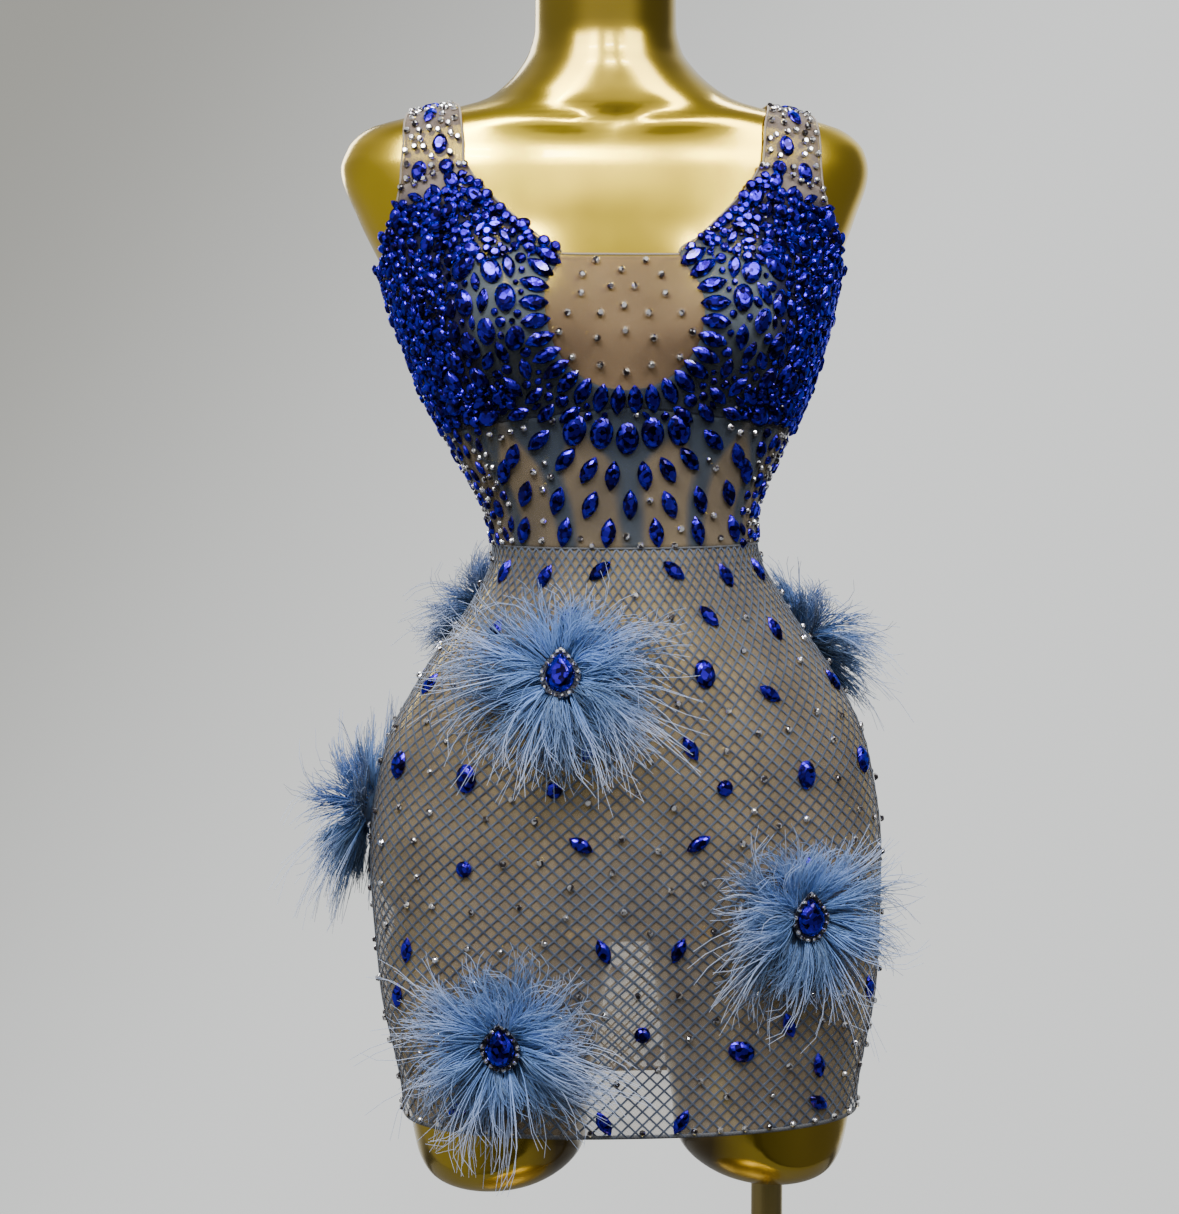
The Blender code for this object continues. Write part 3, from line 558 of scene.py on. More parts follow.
pole_low, pole_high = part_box("pole")
POLE_OUTLINE = (
    (0, pole_low.z),
    (POLE_RADIUS, pole_low.z),
    (POLE_RADIUS, pole_high.z - 0.001),
    (POLE_RADIUS - 0.001, pole_high.z),
    (0, pole_high.z),
)
BASE_OUTLINE = (
    (0, 0),
    (BASE_RADIUS - 0.0008, 0),
    (BASE_RADIUS, 0.0008),
    (BASE_RADIUS, BASE_THICKNESS - 0.002),
    (BASE_RADIUS - 0.0006, BASE_THICKNESS - 0.0006),
    (BASE_RADIUS - 0.002, BASE_THICKNESS),
    (0, BASE_THICKNESS),
)
BOSS_OUTLINE = (
    (POLE_RADIUS + 0.0002, BASE_THICKNESS),
    (BOSS_RADIUS + 0.004, BASE_THICKNESS),
    (BOSS_RADIUS + 0.001, BASE_THICKNESS + 0.002),
    (BOSS_RADIUS, BASE_THICKNESS + 0.005),
    (BOSS_RADIUS, BOSS_HEIGHT - 0.003),
    (BOSS_RADIUS - 0.003, BOSS_HEIGHT),
    (POLE_RADIUS + 0.0002, BOSS_HEIGHT),
    (POLE_RADIUS + 0.0002, BASE_THICKNESS),
)
for name, outline_points, segments, foot, node in (
    ("stand_pole", POLE_OUTLINE, POLE_SIDES, POLE_PLACE, "pole"),
    ("stand_base", BASE_OUTLINE, BASE_SIDES, Vector(), "base_plate"),
    ("stand_boss", BOSS_OUTLINE, POLE_SIDES, POLE_PLACE, None),
):
    bm = turned(outline_points, segments, foot)
    sharp_where_bent(bm, SHARP_BEND)
    own(keep_mesh(name, bm, stand_gilt.material), node)


# Skirt: front and back panels of nude stretch net, from hem to waist seam, cut to the body and
# sewn at the side seams. The net is drawn so tight that it lies on the form without a fold.

EASE, WALL = 0.0022, 0.0015
HEM_HEIGHT, WAIST_SEAM = 0.354, 0.782
NET_OUT, NET_THICKNESS = 0.0001, 0.0004
SKIRT_COLUMNS, SKIRT_ROWS = 30, 64
SKIRT_FLAT, SKIRT_AREA = (0.46, 0.43), 0.165
ARC_STEPS = 48
FACES = ((False, "front"), (True, "back"))
SIDES = ((1, "right"), (-1, "left"))
SKIRT_PALE, SKIRT_DEEP = (0.400, 0.325, 0.235, 1), (0.290, 0.235, 0.175, 1)
SKIRT_COVER = 0.30


def body_normal(z, turn):
    step = 0.002
    around = body_point(z, turn + step, True) - body_point(z, turn - step, True)
    upward = body_point(z + step, turn, True) - body_point(z - step, turn, True)
    return around.cross(upward).normalized()


def cloth_point(z, turn, out):
    """A point on the cloth's inner face, moved out from it."""
    return body_point(z, turn, True) + body_normal(z, turn) * (EASE + out)


@lru_cache(maxsize=2000)
def arc(z, back):
    """Lengths along the cloth at a height, in even turns from its centre line to the side seam."""
    turns = [pi / 2 * step / ARC_STEPS for step in range(ARC_STEPS + 1)]
    points = [body_point(z, pi - turn if back else turn, True) for turn in turns]
    lengths = [0.0]
    for before, here in zip(points, points[1:]):
        lengths.append(lengths[-1] + (here - before).length)
    return lengths


def turn_at(z, share, back):
    """The turn that is a share of the way along the cloth from its centre line to the side seam."""
    lengths = arc(z, back)
    goal = share * lengths[-1]
    index = min(max(bisect_left(lengths, goal), 1), ARC_STEPS)
    part = (goal - lengths[index - 1]) / (lengths[index] - lengths[index - 1])
    return pi / 2 * (index - 1 + part) / ARC_STEPS


def round_to(turn, side, back):
    """Takes a turn on the front right quarter to the quarter that is asked for."""
    return side * (pi - turn if back else turn)


def lay(bm, columns, rows, place, out, centre=0.0):
    """A grid of cloth on the body. place(u, v) gives each point's height and turn."""
    pattern = bm.loops.layers.uv.verify()
    for vertex in bmesh.ops.create_grid(bm, x_segments=columns, y_segments=rows, size=0.5)["verts"]:
        height, turn = place(vertex.co.x + 0.5, vertex.co.y + 0.5)
        vertex.co = cloth_point(height, turn, out)
        for loop in vertex.link_loops:
            loop[pattern].uv = (0.5 + copysign(abs(turn) - centre, turn) / (2 * pi), height - HEM_HEIGHT)


def both_halves(columns, rows, place, out, centre=0.0):
    """A cloth of two halves that meet on the centre line. place(u, v, side) gives height and turn."""
    bm = bmesh.new()
    for side in (1, -1):
        lay(bm, columns, rows, lambda u, v: place(u, v, side), out, centre)
    return bm


def turned_out(bm):
    """Merges the halves of a cloth and turns its faces away from the body."""
    bmesh.ops.remove_doubles(bm, verts=bm.verts, dist=0.00005)
    bmesh.ops.dissolve_degenerate(bm, edges=bm.edges, dist=0.00005)
    bm.normal_update()
    inward = []
    for face in bm.faces:
        place = face.calc_center_median()
        if face.normal.dot(place - Vector((0, 0, min(place.z, 1.0)))) < 0:
            inward.append(face)
    bmesh.ops.reverse_faces(bm, faces=inward)
    smooth_faces(bm)


def sew(name, bm, finish, node=None, thickness=NET_THICKNESS):
    """An open cloth as a piece with its thickness."""
    turned_out(bm)
    piece = keep_mesh(name, bm, finish.material)
    wall = piece.modifiers.new("cloth", "SOLIDIFY")
    wall.thickness = thickness
    wall.offset = 1
    return own(piece, node)


def net_finish(name, pale, deep, cover):
    """Fine stretch net: cells of a millimetre that thin its cover, and a tone that drifts a little."""
    finish = Finish(name, roughness=0.8, sheen=0.15, sheen_roughness=0.45)
    across, up = finish.cut()
    cells = (across * (2 * pi * 760)).cosine() * (up * (2 * pi * 950)).cosine()
    finish.feed("colour", finish.blend(finish.noise(22.0, 3.0).between(0.35, 0.65), pale, deep))
    finish.feed("alpha", cover + cells * 0.10 + finish.noise(40.0) * 0.08)
    finish.raise_by(cells, 0.0001)
    return finish


def skirt_place(u, v, side, back):
    height = mix(HEM_HEIGHT, WAIST_SEAM, v)
    return height, round_to(turn_at(height, u, back), side, back)


skirt_net = net_finish("nude stretch net, skirt", SKIRT_PALE, SKIRT_DEEP, SKIRT_COVER)
skirt_panels = []
for back, face in FACES:
    bm = both_halves(
        SKIRT_COLUMNS,
        SKIRT_ROWS,
        lambda u, v, side: skirt_place(u, v, side, back),
        NET_OUT,
        pi if back else 0.0,
    )
    skirt_panels.append(sew(f"skirt_net_{face}", bm, skirt_net, f"skirt_{face}"))


# Fishnet over the skirt: diamonds of grey-blue elastic thread laid on the nude net, caught in the
# side seams, the waist seam and the hem. They narrow with the waist and open over the hips.

FISHNET_COLUMNS, FISHNET_ROWS = 21, 42
STRAND_WIDTH, STRAND_THICKNESS, STRAND_OUT = 0.0014, 0.0004, 0.0007
STRAND_PALE, STRAND_DEEP = (0.082, 0.105, 0.155, 1), (0.045, 0.058, 0.092, 1)

strand_finish = Finish("grey-blue elastic thread", roughness=0.62, sheen=0.15, sheen_roughness=0.4)
drift = strand_finish.noise(35.0, 3.0).between(0.35, 0.65)
strand_finish.feed("colour", strand_finish.blend(drift, STRAND_PALE, STRAND_DEEP))
strand_finish.raise_by(strand_finish.noise(2600.0, 1.0), 0.0002)

fishnets = []
for back, face in FACES:
    bm = both_halves(
        FISHNET_COLUMNS, FISHNET_ROWS, lambda u, v, side: skirt_place(u, v, side, back), STRAND_OUT
    )
    bmesh.ops.remove_doubles(bm, verts=bm.verts, dist=0.00005)
    squares = [edge for edge in bm.edges if len(edge.link_faces) == 2]
    bmesh.ops.poke(bm, faces=bm.faces)
    bmesh.ops.dissolve_edges(bm, edges=squares, use_verts=False, use_face_split=False)
    openings = list(bm.faces)
    half = STRAND_WIDTH / 2
    bmesh.ops.inset_individual(bm, faces=openings, thickness=half, depth=0, use_even_offset=True)
    bmesh.ops.delete(bm, geom=openings, context="FACES")
    net = sew(f"fishnet_{face}", bm, strand_finish, thickness=STRAND_THICKNESS)
    fishnets.append(net)


# Midriff: front panel of nude net from the waist seam to the foot of the bust panels, with soft
# grey-blue stripes that run down from the bust.

Row = namedtuple("Row", "inner_x inner_z outer_x outer_z")
SIDE = None  # a row without an outer_x ends at the side seam
BUST_FOOT = Row(0.0, 0.8840, SIDE, 0.860)
MIDRIFF_GRID = 30, 18  # columns and rows of a half
MIDRIFF_FLAT, MIDRIFF_AREA = (0.31, 0.10), 0.025
NUDE_PALE, NUDE_DEEP = (0.235, 0.180, 0.115, 1), (0.165, 0.130, 0.088, 1)
STRIPE_BLUE = (0.048, 0.068, 0.100, 1)
STRIPES_ROUND, STRIPE_MEET = 13.5, 0.515  # above this height over the hem the stripes run together


def turn_for(x, z):
    """The turn at which the section at z is x from its middle, on the front."""
    s = section_at(z)
    return asin(min(abs(x) / s.half_width, 1.0) ** (s.squareness / 2))


def panel_place(rows, u, v, side, back):
    """Height and turn of a point of a panel, u from its inner to its outer edge and v up it."""
    ends = []
    for row in rows:
        outer = pi / 2 if row.outer_x is SIDE else turn_for(row.outer_x, row.outer_z)
        ends.append((row.inner_x, row.inner_z, outer, row.outer_z))
    inner_x, inner_z, outer, outer_z = smooth_row(ends, v * (len(rows) - 1))
    turn = mix(turn_for(max(inner_x, 0.0), inner_z), min(outer, pi / 2), u)
    return mix(inner_z, outer_z, u), round_to(turn, side, back)


midriff_rows = (Row(0.0, WAIST_SEAM, SIDE, WAIST_SEAM), BUST_FOOT)
midriff_net = net_finish("nude stretch net, striped", NUDE_PALE, NUDE_DEEP, 0.52)
across, up = midriff_net.cut()
stripe = ((across - 0.5) * (2 * pi * STRIPES_ROUND)).cosine() + (midriff_net.noise(30.0) - 0.5) * 0.5
midriff_net.feed(
    "colour",
    midriff_net.blend(
        (stripe + up.between(STRIPE_MEET - 0.03, STRIPE_MEET) * 1.6).between(0.1, 0.95),
        midriff_net.blend(midriff_net.noise(22.0).between(0.35, 0.65), NUDE_PALE, NUDE_DEEP),
        STRIPE_BLUE,
    ),
)
bm = both_halves(
    *MIDRIFF_GRID, lambda u, v, side: panel_place(midriff_rows, u, v, side, False), NET_OUT
)
midriff = sew("midriff_net", bm, midriff_net, "midriff_front")


# Back bodice: nude net from the waist seam to a low scoop, with points that run up to the straps.

BACK_ROWS = (
    Row(0.0, 0.782, SIDE, 0.782),
    Row(0.0, 0.800, SIDE, 0.800),
    Row(0.0, 0.819, SIDE, 0.819),
    Row(0.0, 0.839, SIDE, 0.839),
    Row(0.0, 0.860, SIDE, 0.860),
    Row(0.0, 0.883, SIDE, 0.883),
    Row(0.0, 0.907, SIDE, 0.907),
    Row(0.0, 0.932, SIDE, 0.932),
    Row(0.0, 0.955, SIDE, 0.956),
    Row(0.030, 0.963, SIDE, 0.978),
    Row(0.058, 0.978, 0.1645, 0.994),
    Row(0.082, 0.998, 0.1580, 1.008),
    Row(0.100, 1.018, 0.1530, 1.022),
    Row(0.108, 1.034, 0.1510, 1.036),
)
BACK_FLAT, BACK_AREA = (0.33, 0.26), 0.065
BACK_GRID = 30, 65

back_net = net_finish("nude stretch net", NUDE_PALE, NUDE_DEEP, 0.36)
bm = both_halves(*BACK_GRID, lambda u, v, side: panel_place(BACK_ROWS, u, v, side, True), NET_OUT, pi)
back_bodice = sew("back_bodice_net", bm, back_net, "bodice_back")


# Centre inset: a round of nude net between the bust panels, whose straight top edge is the lowest
# part of the neckline. It bridges the hollow between the cups.

INSET_RADIUS, INSET_HEIGHT = 0.057, 0.9535
INSET_TURNS = (0, 18, 36, 54, 72, 90, 108)
BUST_SIDE_HEIGHTS = (0.872, 0.884, 0.896, 0.908, 0.920, 0.933, 0.947)
BUST_TOP = (
    Row(0.042, 0.992, SIDE, 0.962),
    Row(0.056, 1.003, SIDE, 0.978),
    Row(0.070, 1.0155, 0.1645, 0.994),
    Row(0.084, 1.029, 0.1610, 1.010),
    Row(0.097, 1.043, 0.1550, 1.025),
    Row(0.105, 1.056, 0.1510, 1.040),
)
INSET_FLAT, INSET_AREA = (0.11, 0.092), 0.0085
INSET_GRID = 14, 42
INSET_PALE, INSET_DEEP = (0.38, 0.26, 0.150, 1), (0.29, 0.195, 0.115, 1)

round_edge = []
for turn, side_height in zip(INSET_TURNS, BUST_SIDE_HEIGHTS):
    x, z = INSET_RADIUS * sin(radians(turn)), INSET_HEIGHT - INSET_RADIUS * cos(radians(turn))
    round_edge.append(Row(x, z, SIDE, side_height))
inset_rows = [(row.inner_x, row.inner_z) for row in [*round_edge, BUST_TOP[0]]]


def inset_place(u, v, side):
    """Height and turn of a point of the inset, u from the centre line to the round edge."""
    x, z = smooth_row(inset_rows, v * (len(inset_rows) - 1))
    return z, side * turn_for(max(x, 0.0) * u, z)


inset_net = net_finish("nude lining net", INSET_PALE, INSET_DEEP, 0.36)
bm = both_halves(*INSET_GRID, inset_place, NET_OUT)
inset = sew("inset_net", bm, inset_net, "centre_inset")


# Bust panels: close grey-blue net that carries the stones, from the centre and the inset's round
# edge to the side seams, armholes and straps.

BUST_ROWS = [BUST_FOOT, *round_edge, *BUST_TOP]
BUST_GRID = 36, 52
BUST_PALE, BUST_LOW = (0.110, 0.138, 0.160, 1), (0.040, 0.052, 0.074, 1)
# painted shade: the net's near black blue in the gaps between packed stones
BUST_GAP_SHADE = (0.003, 0.003, 0.040, 1)
STRAP_PALE, STRAP_DEEP = (0.31, 0.25, 0.215, 1), (0.22, 0.17, 0.145, 1)
SHOW_ACROSS, SHOW_WIDE = 0.070, 0.072  # where the net shows, in shares of a turn from the centre
SHOW_UP, SHOW_TALL = 0.575, 0.066  # and above the hem

bust_net = net_finish("grey-blue stretch net", BUST_PALE, BUST_PALE, 0.62)
across, up = bust_net.cut()
aside = ((across - 0.5).size() - SHOW_ACROSS).above_zero() / SHOW_WIDE
above = (up - SHOW_UP).above_zero() / SHOW_TALL
# Painted shade: where the stones are packed, the net is turned near black blue, so that the gaps between
# them look shaded.
packed_shade = (aside * aside * 3.5 + above * above + (bust_net.noise(70.0) - 0.5) * 0.6).between(0.75, 1.45)
tone = bust_net.blend(up.between(0.530, 0.600), BUST_LOW, BUST_PALE)
tone = bust_net.blend(packed_shade, tone, BUST_GAP_SHADE)
bust_net.feed("colour", bust_net.blend(up.between(0.668, 0.688), tone, STRAP_PALE))
for side, hand in SIDES:
    bm = bmesh.new()
    lay(bm, *BUST_GRID, lambda u, v: panel_place(BUST_ROWS, u, v, side, False), NET_OUT)
    sew(f"bust_net_{hand}", bm, bust_net, f"bust_panel_{hand}")


# Shoulder straps: nude net, and they narrow from the bust panel over the shoulder's ridge and
# down to the back.

STRAP_TOP_IN, STRAP_OUT = 0.1150, 0.1460
STRAP_CLIMB, STRAP_EVEN = 0.2, 1.6
STRAP_GRID = 10, 60


def ridge_height(x, turn):
    """The height at which the shoulder is x from the middle at this turn."""
    low, high = SHOULDER_LOW, SHOULDER_HIGH
    for _ in range(30):
        middle = (low + high) / 2
        s = section_at(middle)
        if s.half_width * sin(turn) ** (2 / s.squareness) > x:
            low = middle
        else:
            high = middle
    return low


def strap_place(u, v, side):
    """Height and turn on a strap: u from its inner edge out, v from the bust over to the back."""
    back = v > 0.5
    share = 2 * (1 - v if back else v)
    low, turn = panel_place(BACK_ROWS if back else BUST_ROWS, u, 1.0, 1, False)
    s = section_at(low)
    x = mix(s.half_width * sin(turn) ** (2 / s.squareness), mix(STRAP_TOP_IN, STRAP_OUT, u), share)
    if share < STRAP_CLIMB:
        height = mix(low, max(low, SHOULDER_LOW), share / STRAP_CLIMB)
        return height, round_to(turn_for(x, height), side, back)
    lean = ((share - STRAP_CLIMB) / (1 - STRAP_CLIMB)) ** STRAP_EVEN
    turn = mix(turn_for(x, max(low, SHOULDER_LOW)), pi / 2, lean)
    return ridge_height(x, turn), round_to(turn, side, back)


strap_net = net_finish("nude strap net", STRAP_PALE, STRAP_DEEP, 0.48)
for side, hand in SIDES:
    bm = bmesh.new()
    lay(bm, *STRAP_GRID, lambda u, v: strap_place(u, v, side), NET_OUT)
    sew(f"strap_net_{hand}", bm, strap_net, f"strap_{hand}")


# Seams and edges: a narrow stretch tape, sewn down with a zigzag, round the hem, the waist seam,
# the side seams, the neckline, the armholes and the back scoop.

TAPE_THICKNESS, TAPE_OUT = 0.0005, 0.0006
HEM_TAPE, SEAM_TAPE, EDGE_TAPE = 0.0030, 0.0016, 0.0014
STITCH_PITCH = 0.0026
SEAM_TOP = 0.978  # of the side seams
NECK_ROW, ARM_ROW = 8, 9  # rows of the bust and back panels where the neckline and the armholes start
SHOULDER_FROM, SHOULDER_TO = 0.4, 0.6  # the strap's shares of a neckline or an armhole
TAPE_PALE, TAPE_DEEP = (0.34, 0.27, 0.20, 1), (0.26, 0.21, 0.16, 1)
STITCH_TONE = (0.40, 0.35, 0.29, 1)
BLUE_TAPE, BLUE_STITCH = (0.075, 0.078, 0.085, 1), (0.105, 0.110, 0.120, 1)


def tape_finish(name, pale, deep, thread_tone):
    """Knitted tape with a zigzag of thread down its middle."""
    finish = Finish(name, roughness=0.7, sheen=0.3, sheen_roughness=0.4)
    across, along = finish.cut()
    zigzag = (along * (2 * pi / STITCH_PITCH)).cosine() * 0.28 + 0.5 - across
    thread = 1 - (zigzag * zigzag).between(0.004, 0.016)
    tone = finish.blend(finish.noise(60.0).between(0.3, 0.7), pale, deep)
    finish.feed("colour", finish.blend(thread, tone, thread_tone))
    finish.raise_by(thread, 0.0003)
    return finish


def tape(name, places, width, finish):
    """A flat tape along places on the cloth, each a height and a turn."""
    spots = [(cloth_point(z, turn, TAPE_OUT), body_normal(z, turn)) for z, turn in places]
    bm = bmesh.new()
    pattern = bm.loops.layers.uv.verify()
    last = len(spots) - 1
    run = [0.0]
    for (before, _), (here, _) in zip(spots, spots[1:]):
        run.append(run[-1] + (here - before).length)
    for vertex in bmesh.ops.create_grid(bm, x_segments=2, y_segments=last, size=0.5)["verts"]:
        share, index = vertex.co.x, round((vertex.co.y + 0.5) * last)
        place, out = spots[index]
        along = (spots[min(index + 1, last)][0] - spots[max(index - 1, 0)][0]).normalized()
        vertex.co = place + along.cross(out).normalized() * (share * width)
        for loop in vertex.link_loops:
            loop[pattern].uv = (share + 0.5, run[index])
    return sew(name, bm, finish, thickness=TAPE_THICKNESS)


def along_cloth(steps, place):
    return [place(step / steps) for step in range(steps + 1)]


def level_line(height, back):
    """Across the front or the back at a height, from side seam to side seam."""

    def place(share):
        quarter = abs(2 * share - 1)
        return height, round_to(turn_at(height, quarter, back), 1 if share > 0.5 else -1, back)

    return place


def edge_line(side, across, start):
    """Up an edge of the bust panel from a row, over the shoulder and down to the same row of the back."""
    bust_top, back_top = len(BUST_ROWS) - 1, len(BACK_ROWS) - 1

    def place(share):
        if share < SHOULDER_FROM:
            row = mix(start, bust_top, share / SHOULDER_FROM)
            return panel_place(BUST_ROWS, across, row / bust_top, side, False)
        if share < SHOULDER_TO:
            return strap_place(across, (share - SHOULDER_FROM) / (SHOULDER_TO - SHOULDER_FROM), side)
        row = mix(back_top, start, (share - SHOULDER_TO) / (1 - SHOULDER_TO))
        return panel_place(BACK_ROWS, across, row / back_top, side, True)

    return place


nude_tape = tape_finish("nude stretch tape", TAPE_PALE, TAPE_DEEP, STITCH_TONE)
blue_tape = tape_finish("grey-blue stretch tape", BLUE_TAPE, BLUE_TAPE, BLUE_STITCH)
skirt_tapes, edge_tapes = [], []
for back, face in FACES:
    for part, height, width in (
        ("hem", HEM_HEIGHT + HEM_TAPE / 2, HEM_TAPE),
        ("waist", WAIST_SEAM, SEAM_TAPE),
    ):
        places = along_cloth(120, level_line(height, back))
        skirt_tapes.append(tape(f"{part}_tape_{face}", places, width, blue_tape))
for side, hand in SIDES:
    places = along_cloth(90, lambda share: (mix(HEM_HEIGHT, SEAM_TOP, share), side * pi / 2))
    skirt_tapes.append(tape(f"side_seam_tape_{hand}", places, SEAM_TAPE, blue_tape))
    places = along_cloth(160, edge_line(side, 1.0, ARM_ROW))
    edge_tapes.append(tape(f"armhole_tape_{hand}", places, EDGE_TAPE, nude_tape))
    places = along_cloth(180, edge_line(side, 0.0, NECK_ROW))
    edge_tapes.append(tape(f"neckline_tape_{hand}", places, EDGE_TAPE, nude_tape))

corner = BUST_TOP[0]
corner_turn = turn_for(corner.inner_x, corner.inner_z)
places = along_cloth(30, lambda share: (corner.inner_z - 0.001, corner_turn * (2 * share - 1)))
inset_tape = tape("inset_tape", places, EDGE_TAPE, nude_tape)


# Stones: foiled glass in royal blue, sewn on in rows, and small silver ones between them. Each has
# a thin girdle, one or two rows of crown facets and a flat table.

Cut = namedtuple("Cut", "length width height sides colour")
CUTS = {
    "oval": Cut(0.0210, 0.0152, 0.0044, 16, 0),
    "marquise": Cut(0.0200, 0.0100, 0.0038, 14, 0),
    "round": Cut(0.0120, 0.0120, 0.0042, 14, 0),
    "bead": Cut(0.0045, 0.0045, 0.0024, 7, 0),
    "seed": Cut(0.0075, 0.0038, 0.0024, 8, 0),
    "silver": Cut(0.0054, 0.0054, 0.0028, 9, 1),
    "tiny_silver": Cut(0.0030, 0.0030, 0.0016, 6, 1),
}
FACETS = ((0.90, 0.0, 0.0), (1.0, 0.22, 0.0), (0.80, 0.70, 0.5), (0.54, 1.0, 0.0))
STONE_OUT = 0.0009
# Dark and lit tones of the stones are painted reflections, chosen cell by cell.
BLUE_DARK, BLUE_LIT = (0.005, 0.0001, 0.050, 1), (0.055, 0.0005, 0.80, 1)
BLUE_EDGE = (0.16, 0.06, 1.0, 1)  # tint of the reflections at a glancing angle
SILVER_DARK, SILVER_LIT = (0.065, 0.052, 0.060, 1), (0.97, 0.97, 0.98, 1)



def glint_cells(finish, scale):
    """Painted reflections: a tone that jumps from facet to facet, from dark to lit."""
    return finish.node("ShaderNodeTexVoronoi", {}, {"Vector": finish.place(), "Scale": scale}, "Color")


blue_glass = Finish(
    "royal blue foiled glass", metallic=1.0, edge=BLUE_EDGE, coat=0.22, coat_roughness=0.03
)
# Painted reflections: each cell of the blue stones is coloured dark or lit.
glint = glint_cells(blue_glass, 300.0)
blue_glass.feed("colour", blue_glass.blend(glint.between(0.25, 0.85), BLUE_DARK, BLUE_LIT))
blue_glass.feed("roughness", 0.14 + glint * 0.22)
silver_glass = Finish("silver foiled glass", metallic=0.9, coat=1.0, coat_roughness=0.03)
# Painted reflections: each cell of the silver stones is coloured dark or lit.
glint = glint_cells(silver_glass, 420.0)
silver_glass.feed("colour", silver_glass.blend(glint.between(0.38, 0.55), SILVER_DARK, SILVER_LIT))
silver_glass.feed("roughness", 0.05 + glint * 0.10)


def outline(cut, scale, offset):
    """Points round a stone: an ellipse, drawn to a point at both ends for a marquise or a seed."""
    points = []
    for index in range(cut.sides):
        turn = 2 * pi * (index + offset) / cut.sides
        pinch = abs(sin(turn)) ** 0.75 if cut.length > 1.8 * cut.width else 1.0
        x, y = sin(turn) * pinch * cut.width / 2 * scale, cos(turn) * cut.length / 2 * scale
        points.append(Vector((x, y, 0)))
    return points


def cut_stone(kind):
    """A stone's mesh, lying on the origin with its table up."""
    cut = CUTS[kind]
    facets = FACETS if cut.sides > 8 else (FACETS[0], FACETS[1], FACETS[3])
    levels = []
    for scale, rise, offset in facets:
        lift = Vector((0, 0, rise * cut.height))
        levels.append([point + lift for point in outline(cut, scale, offset)])
    bm = bmesh.new()
    rings(bm, cut.sides, levels)
    for face in bm.faces:
        face.material_index = cut.colour
    mesh = bpy.data.meshes.new(kind)
    bm.to_mesh(mesh)
    bm.free()
    return mesh


stone_meshes = {kind: cut_stone(kind) for kind in CUTS}


def standing(z, turn, lean=0.0, out=STONE_OUT):
    """Where a stone sits on the cloth: x across, y up it and z out of it, leaned about z."""
    away = body_normal(z, turn)
    across = Vector((0, 0, 1)).cross(away).normalized()
    turned = Matrix((across, away.cross(across), away)).transposed() @ Matrix.Rotation(lean, 3, "Z")
    return Matrix.Translation(cloth_point(z, turn, out)) @ turned.to_4x4()


Setting = namedtuple("Setting", "kind size place")


def set_stones(name, settings):
    """All the stones of a panel as one piece."""
    bm = bmesh.new()
    for kind, size, place in settings:
        copy = stone_meshes[kind].copy()
        copy.transform(place @ Matrix.Scale(size, 4))
        bm.from_mesh(copy)
        bpy.data.meshes.remove(copy)
    return own(keep_mesh(name, bm, blue_glass.material, silver_glass.material))


class Taken:
    """Places that stones have, kept in cells so that the near ones are found quickly."""

    CELL = 0.026

    def __init__(self):
        self.cells = {}

    def key(self, point):
        return tuple(floor(value / self.CELL) for value in point)

    def clear(self, point, radius):
        x, y, z = self.key(point)
        for dx, dy, dz in NEAR_CELLS:
            for other, reach in self.cells.get((x + dx, y + dy, z + dz), ()):
                if (other - point).length_squared < (radius + reach) ** 2:
                    return False
        return True

    def add(self, point, radius):
        self.cells.setdefault(self.key(point), []).append((point, radius))

    def take(self, setting, gap, check=True):
        """Keeps the room of a stone, as circles along it, if it is free. Says whether it was."""
        cut = CUTS[setting.kind]
        radius = cut.width / 2 * setting.size * 0.9
        spread = (cut.length / 2 * setting.size - radius) * 0.85
        spots = [setting.place @ Vector((0, step, 0)) for step in ({-spread, 0.0, spread})]
        if check and not all(self.clear(spot, radius + gap) for spot in spots):
            return False
        for spot in spots:
            self.add(spot, radius)
        return True


NEAR_CELLS = [(x, y, z) for x in (-1, 0, 1) for y in (-1, 0, 1) for z in (-1, 0, 1)]


def scatter(taken, tries, gap, choose):
    """Settings that choose() finds and that there is still room for."""
    found = []
    for _ in range(tries):
        setting = choose()
        if taken.take(setting, gap):
            found.append(setting)
    return found


# Stones of the skirt: blue ones far apart, alike on both sides, small silver ones all over between
# them, and a row of silver ones along the hem. Under a rosette there are none.

